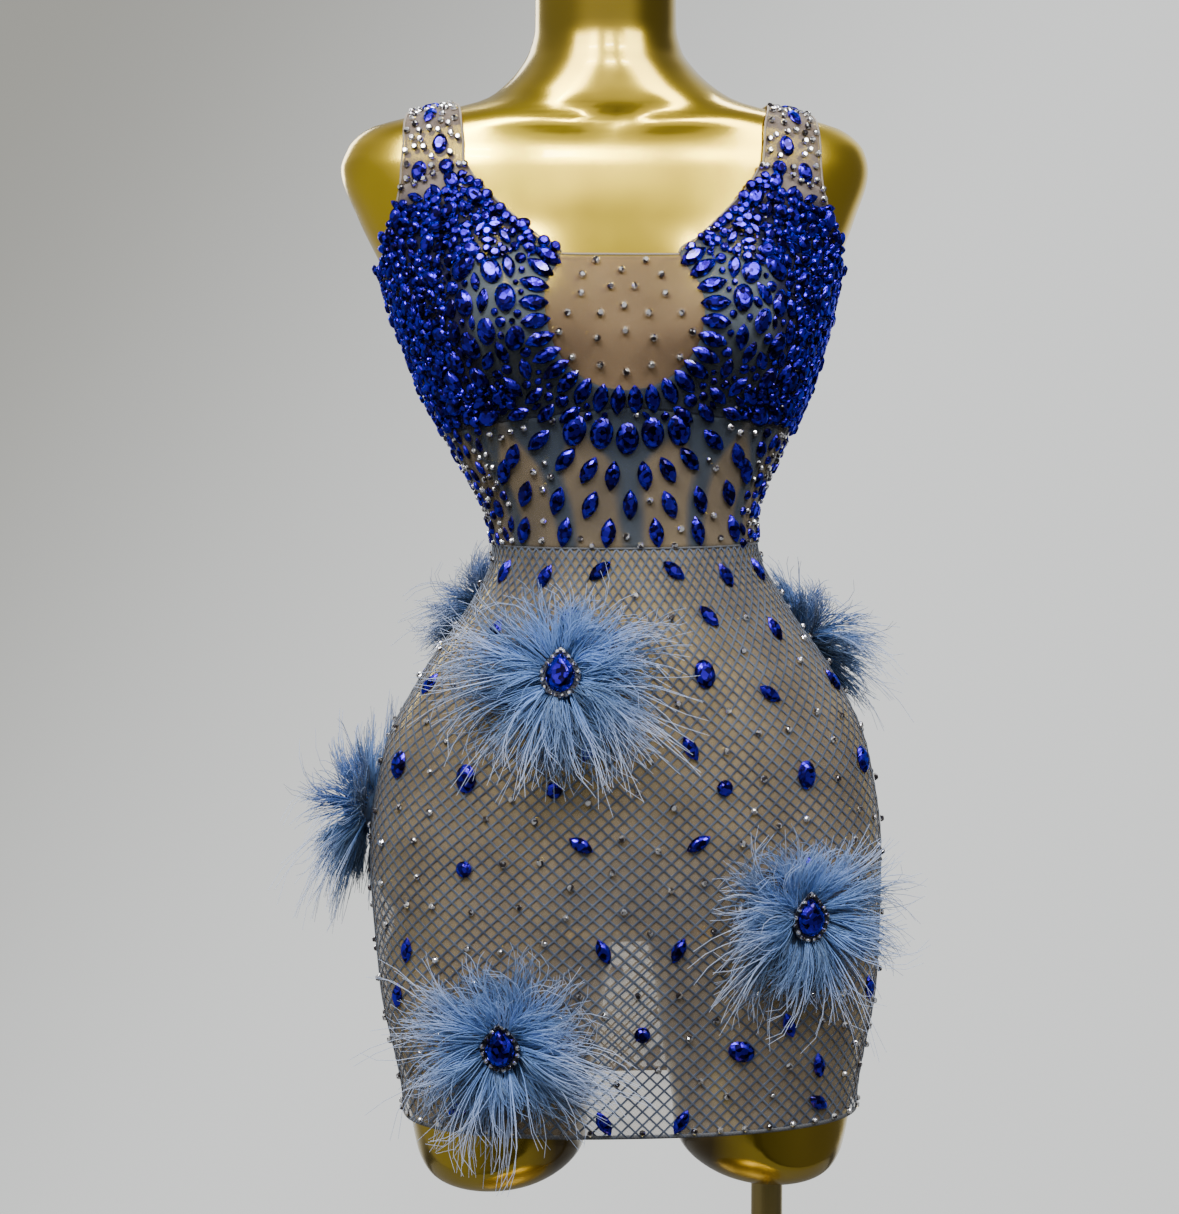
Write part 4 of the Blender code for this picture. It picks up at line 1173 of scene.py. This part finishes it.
Rosette = namedtuple("Rosette", "name turn height reach")
ROSETTES = (
    Rosette("waist_front", -20, 0.691, 0.100),
    Rosette("hem_right", 35, 0.517, 0.094),
    Rosette("hem_left", -29, 0.427, 0.092),
    Rosette("hip_left", -103, 0.578, 0.096),
    Rosette("hip_right_back", 113, 0.700, 0.084),
    Rosette("waist_left_back", -132, 0.722, 0.066),
)
BARE_RADIUS = 0.028  # round a rosette's middle, where no stone is sewn
Stone = namedtuple("Stone", "height out kind tilt")
SKIRT_STONES = (
    Stone(0.766, 0.026, "marquise", 50),
    Stone(0.7605, 0.064, "marquise", 25),
    Stone(0.762, 0.090, "marquise", 20),
    Stone(0.7325, 0.050, "marquise", 40),
    Stone(0.720, 0.100, "marquise", 15),
    Stone(0.692, 0.046, "oval", 10),
    Stone(0.679, 0.146, "marquise", 30),
    Stone(0.676, 0.094, "marquise", 55),
    Stone(0.640, 0.036, "marquise", 30),
    Stone(0.622, 0.168, "oval", 10),
    Stone(0.611, 0.061, "round", 0),
    Stone(0.617, 0.122, "oval", 0),
    Stone(0.5715, 0.042, "marquise", -60),
    Stone(0.552, 0.124, "round", 0),
    Stone(0.494, 0.027, "marquise", -25),
    Stone(0.488, 0.165, "marquise", 10),
    Stone(0.452, 0.172, "marquise", 10),
    Stone(0.432, 0.000, "round", 0),
    Stone(0.417, 0.072, "oval", 70),
    Stone(0.434, 0.108, "marquise", 20),
    Stone(0.4005, 0.131, "marquise", 10),
    Stone(0.372, 0.131, "marquise", 60),
    Stone(0.366, 0.028, "marquise", -30),
)
SILVER_GAP, HEM_PITCH, HEM_STONE_UP = 0.0175, 0.019, 0.0045
SKIRT_STONE_OUT = 0.0012


def near_rosette(place):
    for rosette in ROSETTES:
        middle = cloth_point(rosette.height, radians(rosette.turn), 0)
        if (middle - place.translation).length < BARE_RADIUS:
            return True
    return False


def in_rows(stones, back, taken, out, size=1.0):
    """The stones of a table on both sides of the centre line, with their room taken."""
    settings = []
    for stone in stones:
        for side in (1, -1) if stone.out else (1,):
            lean = radians(stone.tilt) * side * (-1 if back else 1)
            turn = round_to(turn_for(stone.out, stone.height), side, back)
            setting = Setting(stone.kind, size, standing(stone.height, turn, lean, out))
            if not near_rosette(setting.place):
                taken.take(setting, 0, check=False)
                settings.append(setting)
    return settings


skirt_stones = []
for back, face in FACES:
    pick = random.Random(f"skirt {face}")
    taken = Taken()
    settings = in_rows(SKIRT_STONES, back, taken, SKIRT_STONE_OUT)
    count = round(2 * arc(HEM_HEIGHT, back)[-1] / HEM_PITCH)
    for index in range(count):
        share = (index + 0.5) / count * 2 - 1
        turn = round_to(turn_at(HEM_HEIGHT, abs(share), back), copysign(1, share), back)
        setting = Setting("silver", 0.95, standing(HEM_HEIGHT + HEM_STONE_UP, turn, 0, SKIRT_STONE_OUT))
        if taken.take(setting, 0.002):
            settings.append(setting)

    def choose_silver():
        side = pick.choice((1, -1))
        height, turn = skirt_place(pick.random(), pick.uniform(0.035, 0.985), side, back)
        size = pick.uniform(0.85, 1.1)
        return Setting("silver", size, standing(height, turn, pick.uniform(0, pi), SKIRT_STONE_OUT))

    small = scatter(taken, 2600, SILVER_GAP, choose_silver)
    settings += [setting for setting in small if not near_rosette(setting.place)]
    skirt_stones.append(set_stones(f"skirt_stones_{face}", settings))


# Stones of the midriff: a fan of large ovals under the inset, then rows of marquises that follow
# the ribs down to the waist seam, with silver between them, thicker towards the side seams.

MIDRIFF_STONES = (
    Stone(0.862, 0.000, "oval", 0),
    Stone(0.866, 0.018, "oval", 8),
    Stone(0.868, 0.037, "oval", 16),
    Stone(0.861, 0.062, "marquise", 48),
    Stone(0.849, 0.080, "marquise", 25),
    Stone(0.847, 0.044, "marquise", 40),
    Stone(0.839, 0.028, "marquise", 30),
    Stone(0.835, 0.0115, "marquise", 10),
    Stone(0.838, 0.086, "marquise", 20),
    Stone(0.814, 0.000, "marquise", 0),
    Stone(0.814, 0.028, "marquise", 24),
    Stone(0.817, 0.0505, "marquise", 18),
    Stone(0.822, 0.072, "marquise", 24),
    Stone(0.7935, 0.017, "marquise", 8),
    Stone(0.794, 0.047, "marquise", 12),
    Stone(0.795, 0.074, "marquise", 20),
)
MIDRIFF_SIZE = 1.1
RIB_TURN = radians(52)  # beyond it the small stones stand close

pick = random.Random("midriff")
taken = Taken()
settings = in_rows(MIDRIFF_STONES, False, taken, STONE_OUT, MIDRIFF_SIZE)


def choose_midriff(kinds, size, low, high):
    height, turn = panel_place(
        midriff_rows, pick.uniform(low, high), pick.uniform(0.03, 0.95), pick.choice((1, -1)), False
    )
    place = standing(height, turn, pick.uniform(-0.5, 0.5))
    return Setting(pick.choice(kinds), size * pick.uniform(0.85, 1.1), place)


outer_part, inner_part = (RIB_TURN / (pi / 2), 1.0), (0.0, RIB_TURN / (pi / 2))
for tries, gap, kinds, size, part in (
    (500, 0.0022, ("marquise", "oval", "round"), 0.62, outer_part),
    (1100, 0.0012, ("silver",), 0.9, outer_part),
    (900, 0.0042, ("silver",), 0.95, inner_part),
):
    settings += scatter(taken, tries, gap, lambda: choose_midriff(kinds, size, *part))
midriff_stones = set_stones("midriff_stones", settings)


# Stones of the back: the same rows, fewer, with silver scattered up to the scoop.

BACK_STONES = tuple(stone for stone in MIDRIFF_STONES if stone.out in (0.0, 0.028, 0.0505, 0.074))

pick = random.Random("back")
taken = Taken()
settings = in_rows(BACK_STONES, True, taken, STONE_OUT)


def choose_back():
    across, up = pick.uniform(0.02, 0.98), pick.uniform(0.02, 0.98)
    height, turn = panel_place(BACK_ROWS, across, up, pick.choice((1, -1)), True)
    return Setting("silver", pick.uniform(0.85, 1.05), standing(height, turn, pick.uniform(0, pi)))


settings += scatter(taken, 1800, 0.0110, choose_back)
back_stones = set_stones("back_stones", settings)


# Stones of the inset: silver ones in open rows, alike on both sides.

INSET_STONES = (
    (0.987, 0.0175),
    (0.9805, 0.0),
    (0.977, 0.028),
    (0.969, 0.0085),
    (0.964, 0.030),
    (0.9555, 0.0),
    (0.9505, 0.017),
    (0.9505, 0.041),
    (0.9377, 0.048),
    (0.9385, 0.0),
    (0.9334, 0.020),
    (0.9205, 0.0385),
    (0.915, 0.018),
    (0.910, 0.0),
)

pick = random.Random("inset")
settings = []
for height, out in INSET_STONES:
    for side in (1, -1) if out else (1,):
        place = standing(height, side * turn_for(out, height), pick.uniform(0, pi))
        settings.append(Setting("silver", pick.uniform(1.0, 1.12), place))
inset_stones = set_stones("inset_stones", settings)


# Stones of the bust panels: a ring of marquises points at the inset. Beside it stand large stones
# with net between them, and from there to the armholes and straps small ones are packed edge to edge.

RING_PITCH, RING_SINK, RING_SIZE = 0.0112, 0.0020, 1.12
RING_FROM, RING_TO, RING_STEPS = 1.0, 8.1, 600  # rows of the bust panel's inner edge that it follows
OPEN_X, OPEN_LOW, OPEN_HIGH = 0.120, 0.864, 0.988  # net shows between the large stones inside these
OPEN_FOOT = 0.078  # and inside this below the ring's foot
RING_FOOT = 0.899
BIG_GAP = 0.0009
BUST_PILE = 0.0022  # packed stones ride up on each other
CRUST_TOP_IN, CRUST_TOP_OUT = 1.050, 1.026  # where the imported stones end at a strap's two edges

edge_rows = [(row.inner_x, row.inner_z) for row in BUST_ROWS]


def ring_settings(side):
    """Marquises side by side round the inset's edge, each pointing at its middle."""
    settings, walked, goal = [], 0.0, RING_PITCH / 2
    last_x, last_z = smooth_row(edge_rows, RING_FROM)
    for step in range(1, RING_STEPS + 1):
        x, z = smooth_row(edge_rows, mix(RING_FROM, RING_TO, step / RING_STEPS))
        here = cloth_point(z, turn_for(max(x, 0.0), z), 0)
        walked += (here - cloth_point(last_z, turn_for(max(last_x, 0.0), last_z), 0)).length
        if walked >= goal:
            goal += RING_PITCH
            along = Vector((x - last_x, z - last_z)).normalized()
            away = Vector((along.y, -along.x)) * (CUTS["marquise"].length / 2 - RING_SINK)
            lean = atan2(-side * away.x, away.y)
            height, out = z + away.y, x + away.x
            place = standing(height, side * turn_for(out, height), lean)
            settings.append(Setting("marquise", RING_SIZE, place))
        last_x, last_z = x, z
    return settings


def in_open(place):
    spot = place.translation
    out = abs(spot.x - section_at(spot.z).centre)
    return out < (OPEN_X if spot.z > RING_FOOT else OPEN_FOOT) and OPEN_LOW < spot.z < OPEN_HIGH


def below_strap(place):
    out = abs(place.translation.x - section_at(place.translation.z).centre)
    inner, outer = BUST_TOP[-1].inner_x, BUST_TOP[-1].outer_x
    share = min(max((out - inner) / (outer - inner), 0), 1)
    return place.translation.z < mix(CRUST_TOP_IN, CRUST_TOP_OUT, share) + pick.uniform(-0.006, 0.003)


for side, hand in SIDES:
    pick = random.Random("bust")
    taken = Taken()
    settings = ring_settings(side)
    for setting in settings:
        taken.take(setting, 0, check=False)

    def choose_large(kinds, low, high):
        while True:
            height, out = pick.uniform(OPEN_LOW + 0.014, OPEN_HIGH), pick.uniform(0.008, OPEN_X)
            if Vector((out, height - INSET_HEIGHT)).length > INSET_RADIUS + 0.012:
                break
        lean = side * (pick.uniform(-0.7, 0.7) if height > RING_FOOT else pick.uniform(0.6, 1.2))
        kind, size = pick.choice(kinds), pick.uniform(low, high)
        return Setting(kind, size, standing(height, side * turn_for(out, height), lean))

    spread = (
        (900, ("oval", "oval", "marquise"), 0.90, 1.02),
        (2200, ("oval", "round", "marquise"), 0.64, 0.86),
        (3000, ("round", "marquise", "oval"), 0.40, 0.60),
        (2500, ("bead", "seed"), 0.95, 1.3),
    )
    for tries, kinds, low, high in spread:
        settings += scatter(taken, tries, BIG_GAP, lambda: choose_large(kinds, low, high))

    def choose_packed(kinds, low, high):
        across, up = pick.uniform(0.006, 0.994), pick.uniform(0.03, 0.995)
        height, turn = panel_place(BUST_ROWS, across, up, side, False)
        out = STONE_OUT + pick.uniform(0, BUST_PILE)
        lean = side * pick.uniform(-1.6, 1.6)
        return Setting(pick.choice(kinds), pick.uniform(low, high), standing(height, turn, lean, out))

    packing = (
        (5200, ("marquise", "round", "oval"), 0.54, 0.78, -0.0018),
        (3200, ("round", "marquise", "seed"), 0.42, 0.56, -0.0014),
        (1600, ("seed", "bead"), 0.9, 1.2, -0.0010),
        (300, ("tiny_silver",), 0.8, 1.0, -0.0002),
    )
    for tries, kinds, low, high, gap in packing:
        for _ in range(tries):
            setting = choose_packed(kinds, low, high)
            if below_strap(setting.place) and not in_open(setting.place) and taken.take(setting, gap):
                settings.append(setting)
    for _ in range(400):
        setting = choose_packed(("silver",), 0.90, 1.02)
        if not below_strap(setting.place) and taken.take(setting, 0.0013):
            settings.append(setting)
    set_stones(f"bust_stones_{hand}", settings)


# Stones of the straps: a line of blue ones up the middle in a close ground of small silver ones.

StrapStone = namedtuple("StrapStone", "across along kind size lean")
STRAP_STONES = (
    StrapStone(0.24, 0.040, "round", 0.95, 0),
    StrapStone(0.66, 0.050, "oval", 0.72, 0.2),
    StrapStone(0.34, 0.140, "oval", 0.72, 0.1),
    StrapStone(0.50, 0.260, "marquise", 0.92, 0),
    StrapStone(0.50, 0.430, "oval", 0.74, 0),
    StrapStone(0.50, 0.580, "marquise", 0.92, 0),
    StrapStone(0.50, 0.730, "oval", 0.74, 0),
    StrapStone(0.50, 0.880, "marquise", 0.92, 0),
)

for side, hand in SIDES:
    pick = random.Random("strap")
    taken = Taken()
    settings = []
    for stone in STRAP_STONES:
        height, turn = strap_place(stone.across, stone.along, side)
        setting = Setting(stone.kind, stone.size, standing(height, turn, side * stone.lean))
        taken.take(setting, 0, check=False)
        settings.append(setting)

    def choose_strap():
        height, turn = strap_place(pick.uniform(0.06, 0.94), pick.uniform(0.02, 0.98), side)
        return Setting("silver", pick.uniform(0.90, 1.02), standing(height, turn, pick.uniform(0, pi)))

    settings += scatter(taken, 1500, 0.0013, choose_strap)
    set_stones(f"strap_stones_{hand}", settings)


# Feather rosettes: dyed ostrich barbs, tied in locks, bound round a felt button and sewn to the
# skirt through it. They arch out and fall under their own weight, with a few long loose ones.

FELT_BUTTON = (
    (0.0, 0.0),
    (0.0150, 0.0),
    (0.0165, 0.0008),
    (0.0165, 0.0030),
    (0.0140, 0.0060),
    (0.0080, 0.0090),
    (0.0075, 0.0172),
    (0.0, 0.0172),
)
BUTTON_SIDES = 40
BUTTON_REACH = 0.0155  # how far out the button's underside has to clear the cloth
BUTTON_RINGS = ((0.0165, 0.0018), (0.0168, 0.0054), (0.0151, 0.0091))  # where the rows of locks grow
PlumeRow = namedtuple("PlumeRow", "count lift reach")
PLUME_ROWS = (PlumeRow(17, 9, 0.84), PlumeRow(15, 26, 0.78), PlumeRow(12, 46, 0.66))
SIDE_BARBS, WISPS = 32, 90
SHORT_ABOVE, SHORT_UPRIGHT = 0.05, 0.27  # how much shorter the locks are above, and above and below
BARB_POINTS, BARB_RADIUS, BARB_TIP = 7, 0.00043, 0.34
BARB_SAG, BARB_CLEAR = 2.0, 0.0020
# On the barbs, slate stands for the shaded side and sky for the lit side: painted light, mixed with a
# random dye tint. The felt uses these tones as its own colour.
ROOT_TONE, SLATE_TONE = (0.020, 0.050, 0.130, 1), (0.075, 0.130, 0.240, 1)
SKY_TONE, TIP_TONE = (0.170, 0.335, 0.760, 1), (0.52, 0.61, 0.84, 1)


def surface_of(*nodes):
    """The faces of CAD nodes, to find places on."""
    bm = bmesh.new()
    for node in nodes:
        bm.from_mesh(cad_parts[node].data)
    surface = BVHTree.FromBMesh(bm)
    bm.free()
    return surface


skirt_surface = surface_of("skirt_front", "skirt_back")


def rosette_place(rosette):
    """Where a rosette sits, moved in or out until its button just clears the cloth."""
    place = standing(rosette.height, radians(rosette.turn), 0, WALL)
    out = place.col[2].xyz
    highest = -1.0
    for index in range(60):
        reach = BUTTON_REACH * (index % 5) / 4
        spot = place @ Vector((reach * cos(index * pi / 12), reach * sin(index * pi / 12), 0.02))
        hit = skirt_surface.ray_cast(spot, -out)[0]
        if hit:
            highest = max(highest, (hit - place.translation).dot(out))
    return Matrix.Translation(out * (highest + 0.0003)) @ place


def curl_path(place, root, angle, lift, reach, curl, hook, sag, clear):
    """Points along a barb from its root: it turns aside as it goes out, most at its tip, levels out,
    sags, and never enters the skirt. place is the rosette's."""
    points, here, step = [], root.copy(), reach / (BARB_POINTS - 1)
    for index in range(BARB_POINTS):
        share = index / (BARB_POINTS - 1)
        spot = place @ here
        spot.z -= sag * (here - root).length ** 2
        points.append(scaled_out(spot, EASE + WALL + clear, 1.0))
        heading = angle + curl * share + hook * share**3
        rise = lift * (1 - 0.9 * share)
        here = here + Vector((cos(heading) * cos(rise), sin(heading) * cos(rise), sin(rise))) * step
    return points


def rooted(angle, radius, height):
    return Vector((cos(angle) * radius, sin(angle) * radius, height))


def plume(place, pick, angle, lift, reach, root):
    """A plume, as paths and tints: barbs leave its short shaft on both sides and sweep along it."""
    paths, tint = [], pick.uniform(-0.28, 0.22)
    curl, sag = pick.gauss(0, 0.70), BARB_SAG * pick.uniform(0.5, 1.4)
    clear = BARB_CLEAR + pick.uniform(0, 0.006)
    for index in range(SIDE_BARBS):
        start = 0.5 * (index / SIDE_BARBS) ** 1.3
        splay = pick.choice((1, -1)) * pick.uniform(0.04, 0.62) * (1 - start)
        heading = angle + curl * start
        foot = root + rooted(heading, reach * start * cos(lift), reach * start * sin(lift) * 0.9)
        foot += rooted(pick.uniform(0, 2 * pi), 0.0012, 0)
        length = reach * (1 - 0.75 * start) * pick.uniform(0.55, 1.0)
        path = curl_path(
            place,
            foot,
            heading + splay,
            lift * (1 - start) + pick.gauss(0, 0.10),
            length,
            curl * 0.6 - splay * 0.9 + pick.gauss(0, 0.30),
            pick.gauss(0, 0.85),
            sag,
            clear + pick.uniform(0, 0.003),
        )
        paths.append((path, tint + pick.gauss(0.5, 0.24)))
    return paths


def shorter(angle):
    return 1 - SHORT_ABOVE * sin(angle) - SHORT_UPRIGHT * sin(angle) ** 2


def rosette_barbs(rosette, place, pick):
    """All the barbs of a rosette: rows of plumes round the button, and long thin wisps among them."""
    paths = []
    for row, ring in zip(PLUME_ROWS, BUTTON_RINGS):
        for index in range(row.count):
            angle = 2 * pi * (index + pick.uniform(-0.45, 0.45)) / row.count
            lift = radians(row.lift + pick.uniform(-7, 10))
            reach = rosette.reach * row.reach * pick.uniform(0.66, 1.20) * shorter(angle)
            root = rooted(angle, ring[0] * pick.uniform(0.5, 0.95), ring[1])
            # Painted light: plumes on the upper side of the button are lighter, and the low rows, near
            # the skirt, darker.
            light = 0.30 * sin(angle) + 0.012 * (row.lift - 30)
            paths += [(path, tint + light) for path, tint in plume(place, pick, angle, lift, reach, root)]
    for _ in range(WISPS):
        angle = pick.uniform(0, 2 * pi)
        reach = rosette.reach * pick.uniform(0.75, 1.22) * shorter(angle)
        root = rooted(angle, pick.uniform(0.005, 0.015), pick.uniform(0.002, 0.010))
        lift, curl, hook = radians(pick.uniform(2, 46)), pick.gauss(0, 0.60), pick.gauss(0, 1.2)
        sag, clear = BARB_SAG * pick.uniform(0.2, 1.5), BARB_CLEAR + pick.uniform(0, 0.008)
        for strand in range(pick.choice((1, 2, 3))):
            turn, length = angle + pick.gauss(0, 0.05), reach * pick.uniform(0.85, 1.0)
            path = curl_path(place, root, turn, lift, length, curl, hook + 0.25 * strand, sag, clear)
            paths.append((path, pick.uniform(0.7, 1.2)))
    return paths


feather = Finish("dyed ostrich barbs", roughness=0.58, sheen=0.25, sheen_roughness=0.35)
# The barb attribute read here holds a random dye tint and painted light, and moves each barb between the
# slate and sky tones.
along = feather.node("ShaderNodeAttribute", {"attribute_name": "along"}, {}, "Fac")
tint = feather.node("ShaderNodeAttribute", {"attribute_name": "tint"}, {}, "Fac")
body_tone = feather.blend(tint, SLATE_TONE, SKY_TONE)
outer_tone = feather.blend((along * 1.1 + tint * 0.35).between(0.70, 1.35), body_tone, TIP_TONE)
from_root = (along * 2.0 + tint * 0.3).between(0.05, 0.80)
feather.feed("colour", feather.blend(from_root, ROOT_TONE, outer_tone))
feather.raise_by(feather.noise(900.0, 2.0), 0.0002)
felt = Finish("blue felt", roughness=0.95, sheen=0.5, sheen_roughness=0.5)
felt.feed("colour", felt.blend(felt.noise(300.0, 3.0), ROOT_TONE, SLATE_TONE))
felt.raise_by(felt.noise(1500.0, 3.0), 0.0004)

rosette_pieces = []
for rosette in ROSETTES:
    pick = random.Random(rosette.name)
    place = rosette_place(rosette)
    tuft = bpy.data.curves.new("barbs", "CURVE")
    tuft.dimensions = "3D"
    tuft.bevel_depth = BARB_RADIUS
    tuft.bevel_resolution = 0
    barbs = rosette_barbs(rosette, place, pick)
    for path, _ in barbs:
        spline = tuft.splines.new("POLY")
        spline.points.add(BARB_POINTS - 1)
        for index, spot in enumerate(path):
            spline.points[index].co = (*spot, 1)
            spline.points[index].radius = mix(1.0, BARB_TIP, index / (BARB_POINTS - 1))
    holder = bpy.data.objects.new("barbs", tuft)
    bpy.context.scene.collection.objects.link(holder)
    mesh = bpy.data.meshes.new_from_object(holder.evaluated_get(bpy.context.evaluated_depsgraph_get()))
    bpy.data.objects.remove(holder)
    sides = len(mesh.vertices) // (len(barbs) * BARB_POINTS)
    shares, tones = [], []
    middle = place.translation
    for index, vertex in enumerate(mesh.vertices):
        shares.append((vertex.co - middle).length / rosette.reach)
        tones.append(min(max(barbs[index // (sides * BARB_POINTS)][1], 0.0), 1.0))
    mesh.attributes.new("along", "FLOAT", "POINT").data.foreach_set("value", shares)
    mesh.attributes.new("tint", "FLOAT", "POINT").data.foreach_set("value", tones)
    mesh.materials.clear()
    mesh.materials.append(feather.material)
    piece = bpy.data.objects.new(f"feathers_{rosette.name}", mesh)
    bpy.context.scene.collection.objects.link(piece)
    own(piece, f"rosette_{rosette.name}")
    bm = turned(FELT_BUTTON, BUTTON_SIDES, Vector())
    bm.transform(place)
    button = own(keep_mesh(f"felt_{rosette.name}", bm, felt.material))
    rosette_pieces += [piece, button]


# Jewels: a drop of the blue glass, point up, in the middle of each rosette, on a thin silver plate
# whose rim carries a row of small silver stones.

JEWEL_HEIGHT, JEWEL_WIDTH, JEWEL_SIDES = 0.0262, 0.0212, 28
PLATE_MARGIN, PLATE_THICKNESS = 0.0045, 0.0016
DROP_FACETS = (  # margin and rise of each ring, and how far it is turned, in sides
    (-0.0004, 0.0, 0.0),
    (0.0, 0.0012, 0.0),
    (-0.0018, 0.0038, 0.5),
    (-0.0034, 0.0055, 0.0),
    (-0.0052, 0.0066, 0.5),
)
JEWEL_FOOT = 0.0175
RIM_MARGIN, RIM_STONES, RIM_SIZE = 0.0026, 17, 0.68

plate_finish = Finish("silver plate", metallic=1.0, roughness=0.22)
PLATE_DARK, PLATE_LIT = (0.03, 0.035, 0.06, 1), (0.14, 0.15, 0.19, 1)
patches = plate_finish.noise(500.0).between(0.35, 0.65)
plate_finish.feed("colour", plate_finish.blend(patches, PLATE_DARK, PLATE_LIT))
plate_finish.raise_by(plate_finish.noise(1200.0), 0.0002)


def drop_outline(margin, z, sides=JEWEL_SIDES, offset=0.0):
    """A drop with its point up: round below, drawn to a blunt point above."""
    points = []
    for index in range(sides):
        turn = 2 * pi * (index + offset) / sides
        upper = max(cos(turn), 0)
        across = (JEWEL_WIDTH / 2 + margin) * sin(turn) * (1 - 0.55 * upper**1.5)
        points.append(Vector((across, (JEWEL_HEIGHT / 2 + margin) * (cos(turn) + 0.12 * upper**4), z)))
    return points


jewels = []
for rosette in ROSETTES:
    place = rosette_place(rosette)
    top = JEWEL_FOOT + PLATE_THICKNESS
    bm = bmesh.new()
    levels = [drop_outline(margin, top + rise, offset=offset) for margin, rise, offset in DROP_FACETS]
    rings(bm, JEWEL_SIDES, levels)
    bm.transform(place)
    drop = own(keep_mesh(f"drop_{rosette.name}", bm, blue_glass.material))

    bm = bmesh.new()
    levels = (
        (PLATE_MARGIN - 0.0004, JEWEL_FOOT),
        (PLATE_MARGIN, JEWEL_FOOT + 0.0004),
        (PLATE_MARGIN, top - 0.0003),
        (PLATE_MARGIN - 0.0003, top),
    )
    rings(bm, JEWEL_SIDES, [drop_outline(margin, height) for margin, height in levels])
    bm.transform(place)
    plate = keep_mesh(f"plate_{rosette.name}", bm, plate_finish.material)
    own(plate, f"jewel_{rosette.name}")

    rim = drop_outline(RIM_MARGIN, top, RIM_STONES)
    settings = [Setting("silver", RIM_SIZE, place @ Matrix.Translation(spot)) for spot in rim]
    jewels += [drop, plate, set_stones(f"rim_{rosette.name}", settings)]


# What was cut flat: every net panel is a stretch cut, drawn over the form a little larger than flat. The
# panels' flat sizes, areas and riders are only listed here; nothing is set from them.

on_skirt_front = [fishnets[0], skirt_stones[0], *skirt_tapes, *rosette_pieces, *jewels]
for panel, flat, area, riders in (
    (skirt_panels[0], SKIRT_FLAT, SKIRT_AREA, on_skirt_front),
    (skirt_panels[1], SKIRT_FLAT, SKIRT_AREA, [fishnets[1], skirt_stones[1]]),
    (midriff, MIDRIFF_FLAT, MIDRIFF_AREA, [midriff_stones]),
    (back_bodice, BACK_FLAT, BACK_AREA, [back_stones, *edge_tapes]),
    (inset, INSET_FLAT, INSET_AREA, [inset_stones, inset_tape]),
):
    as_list(riders)
for side, _ in SIDES:
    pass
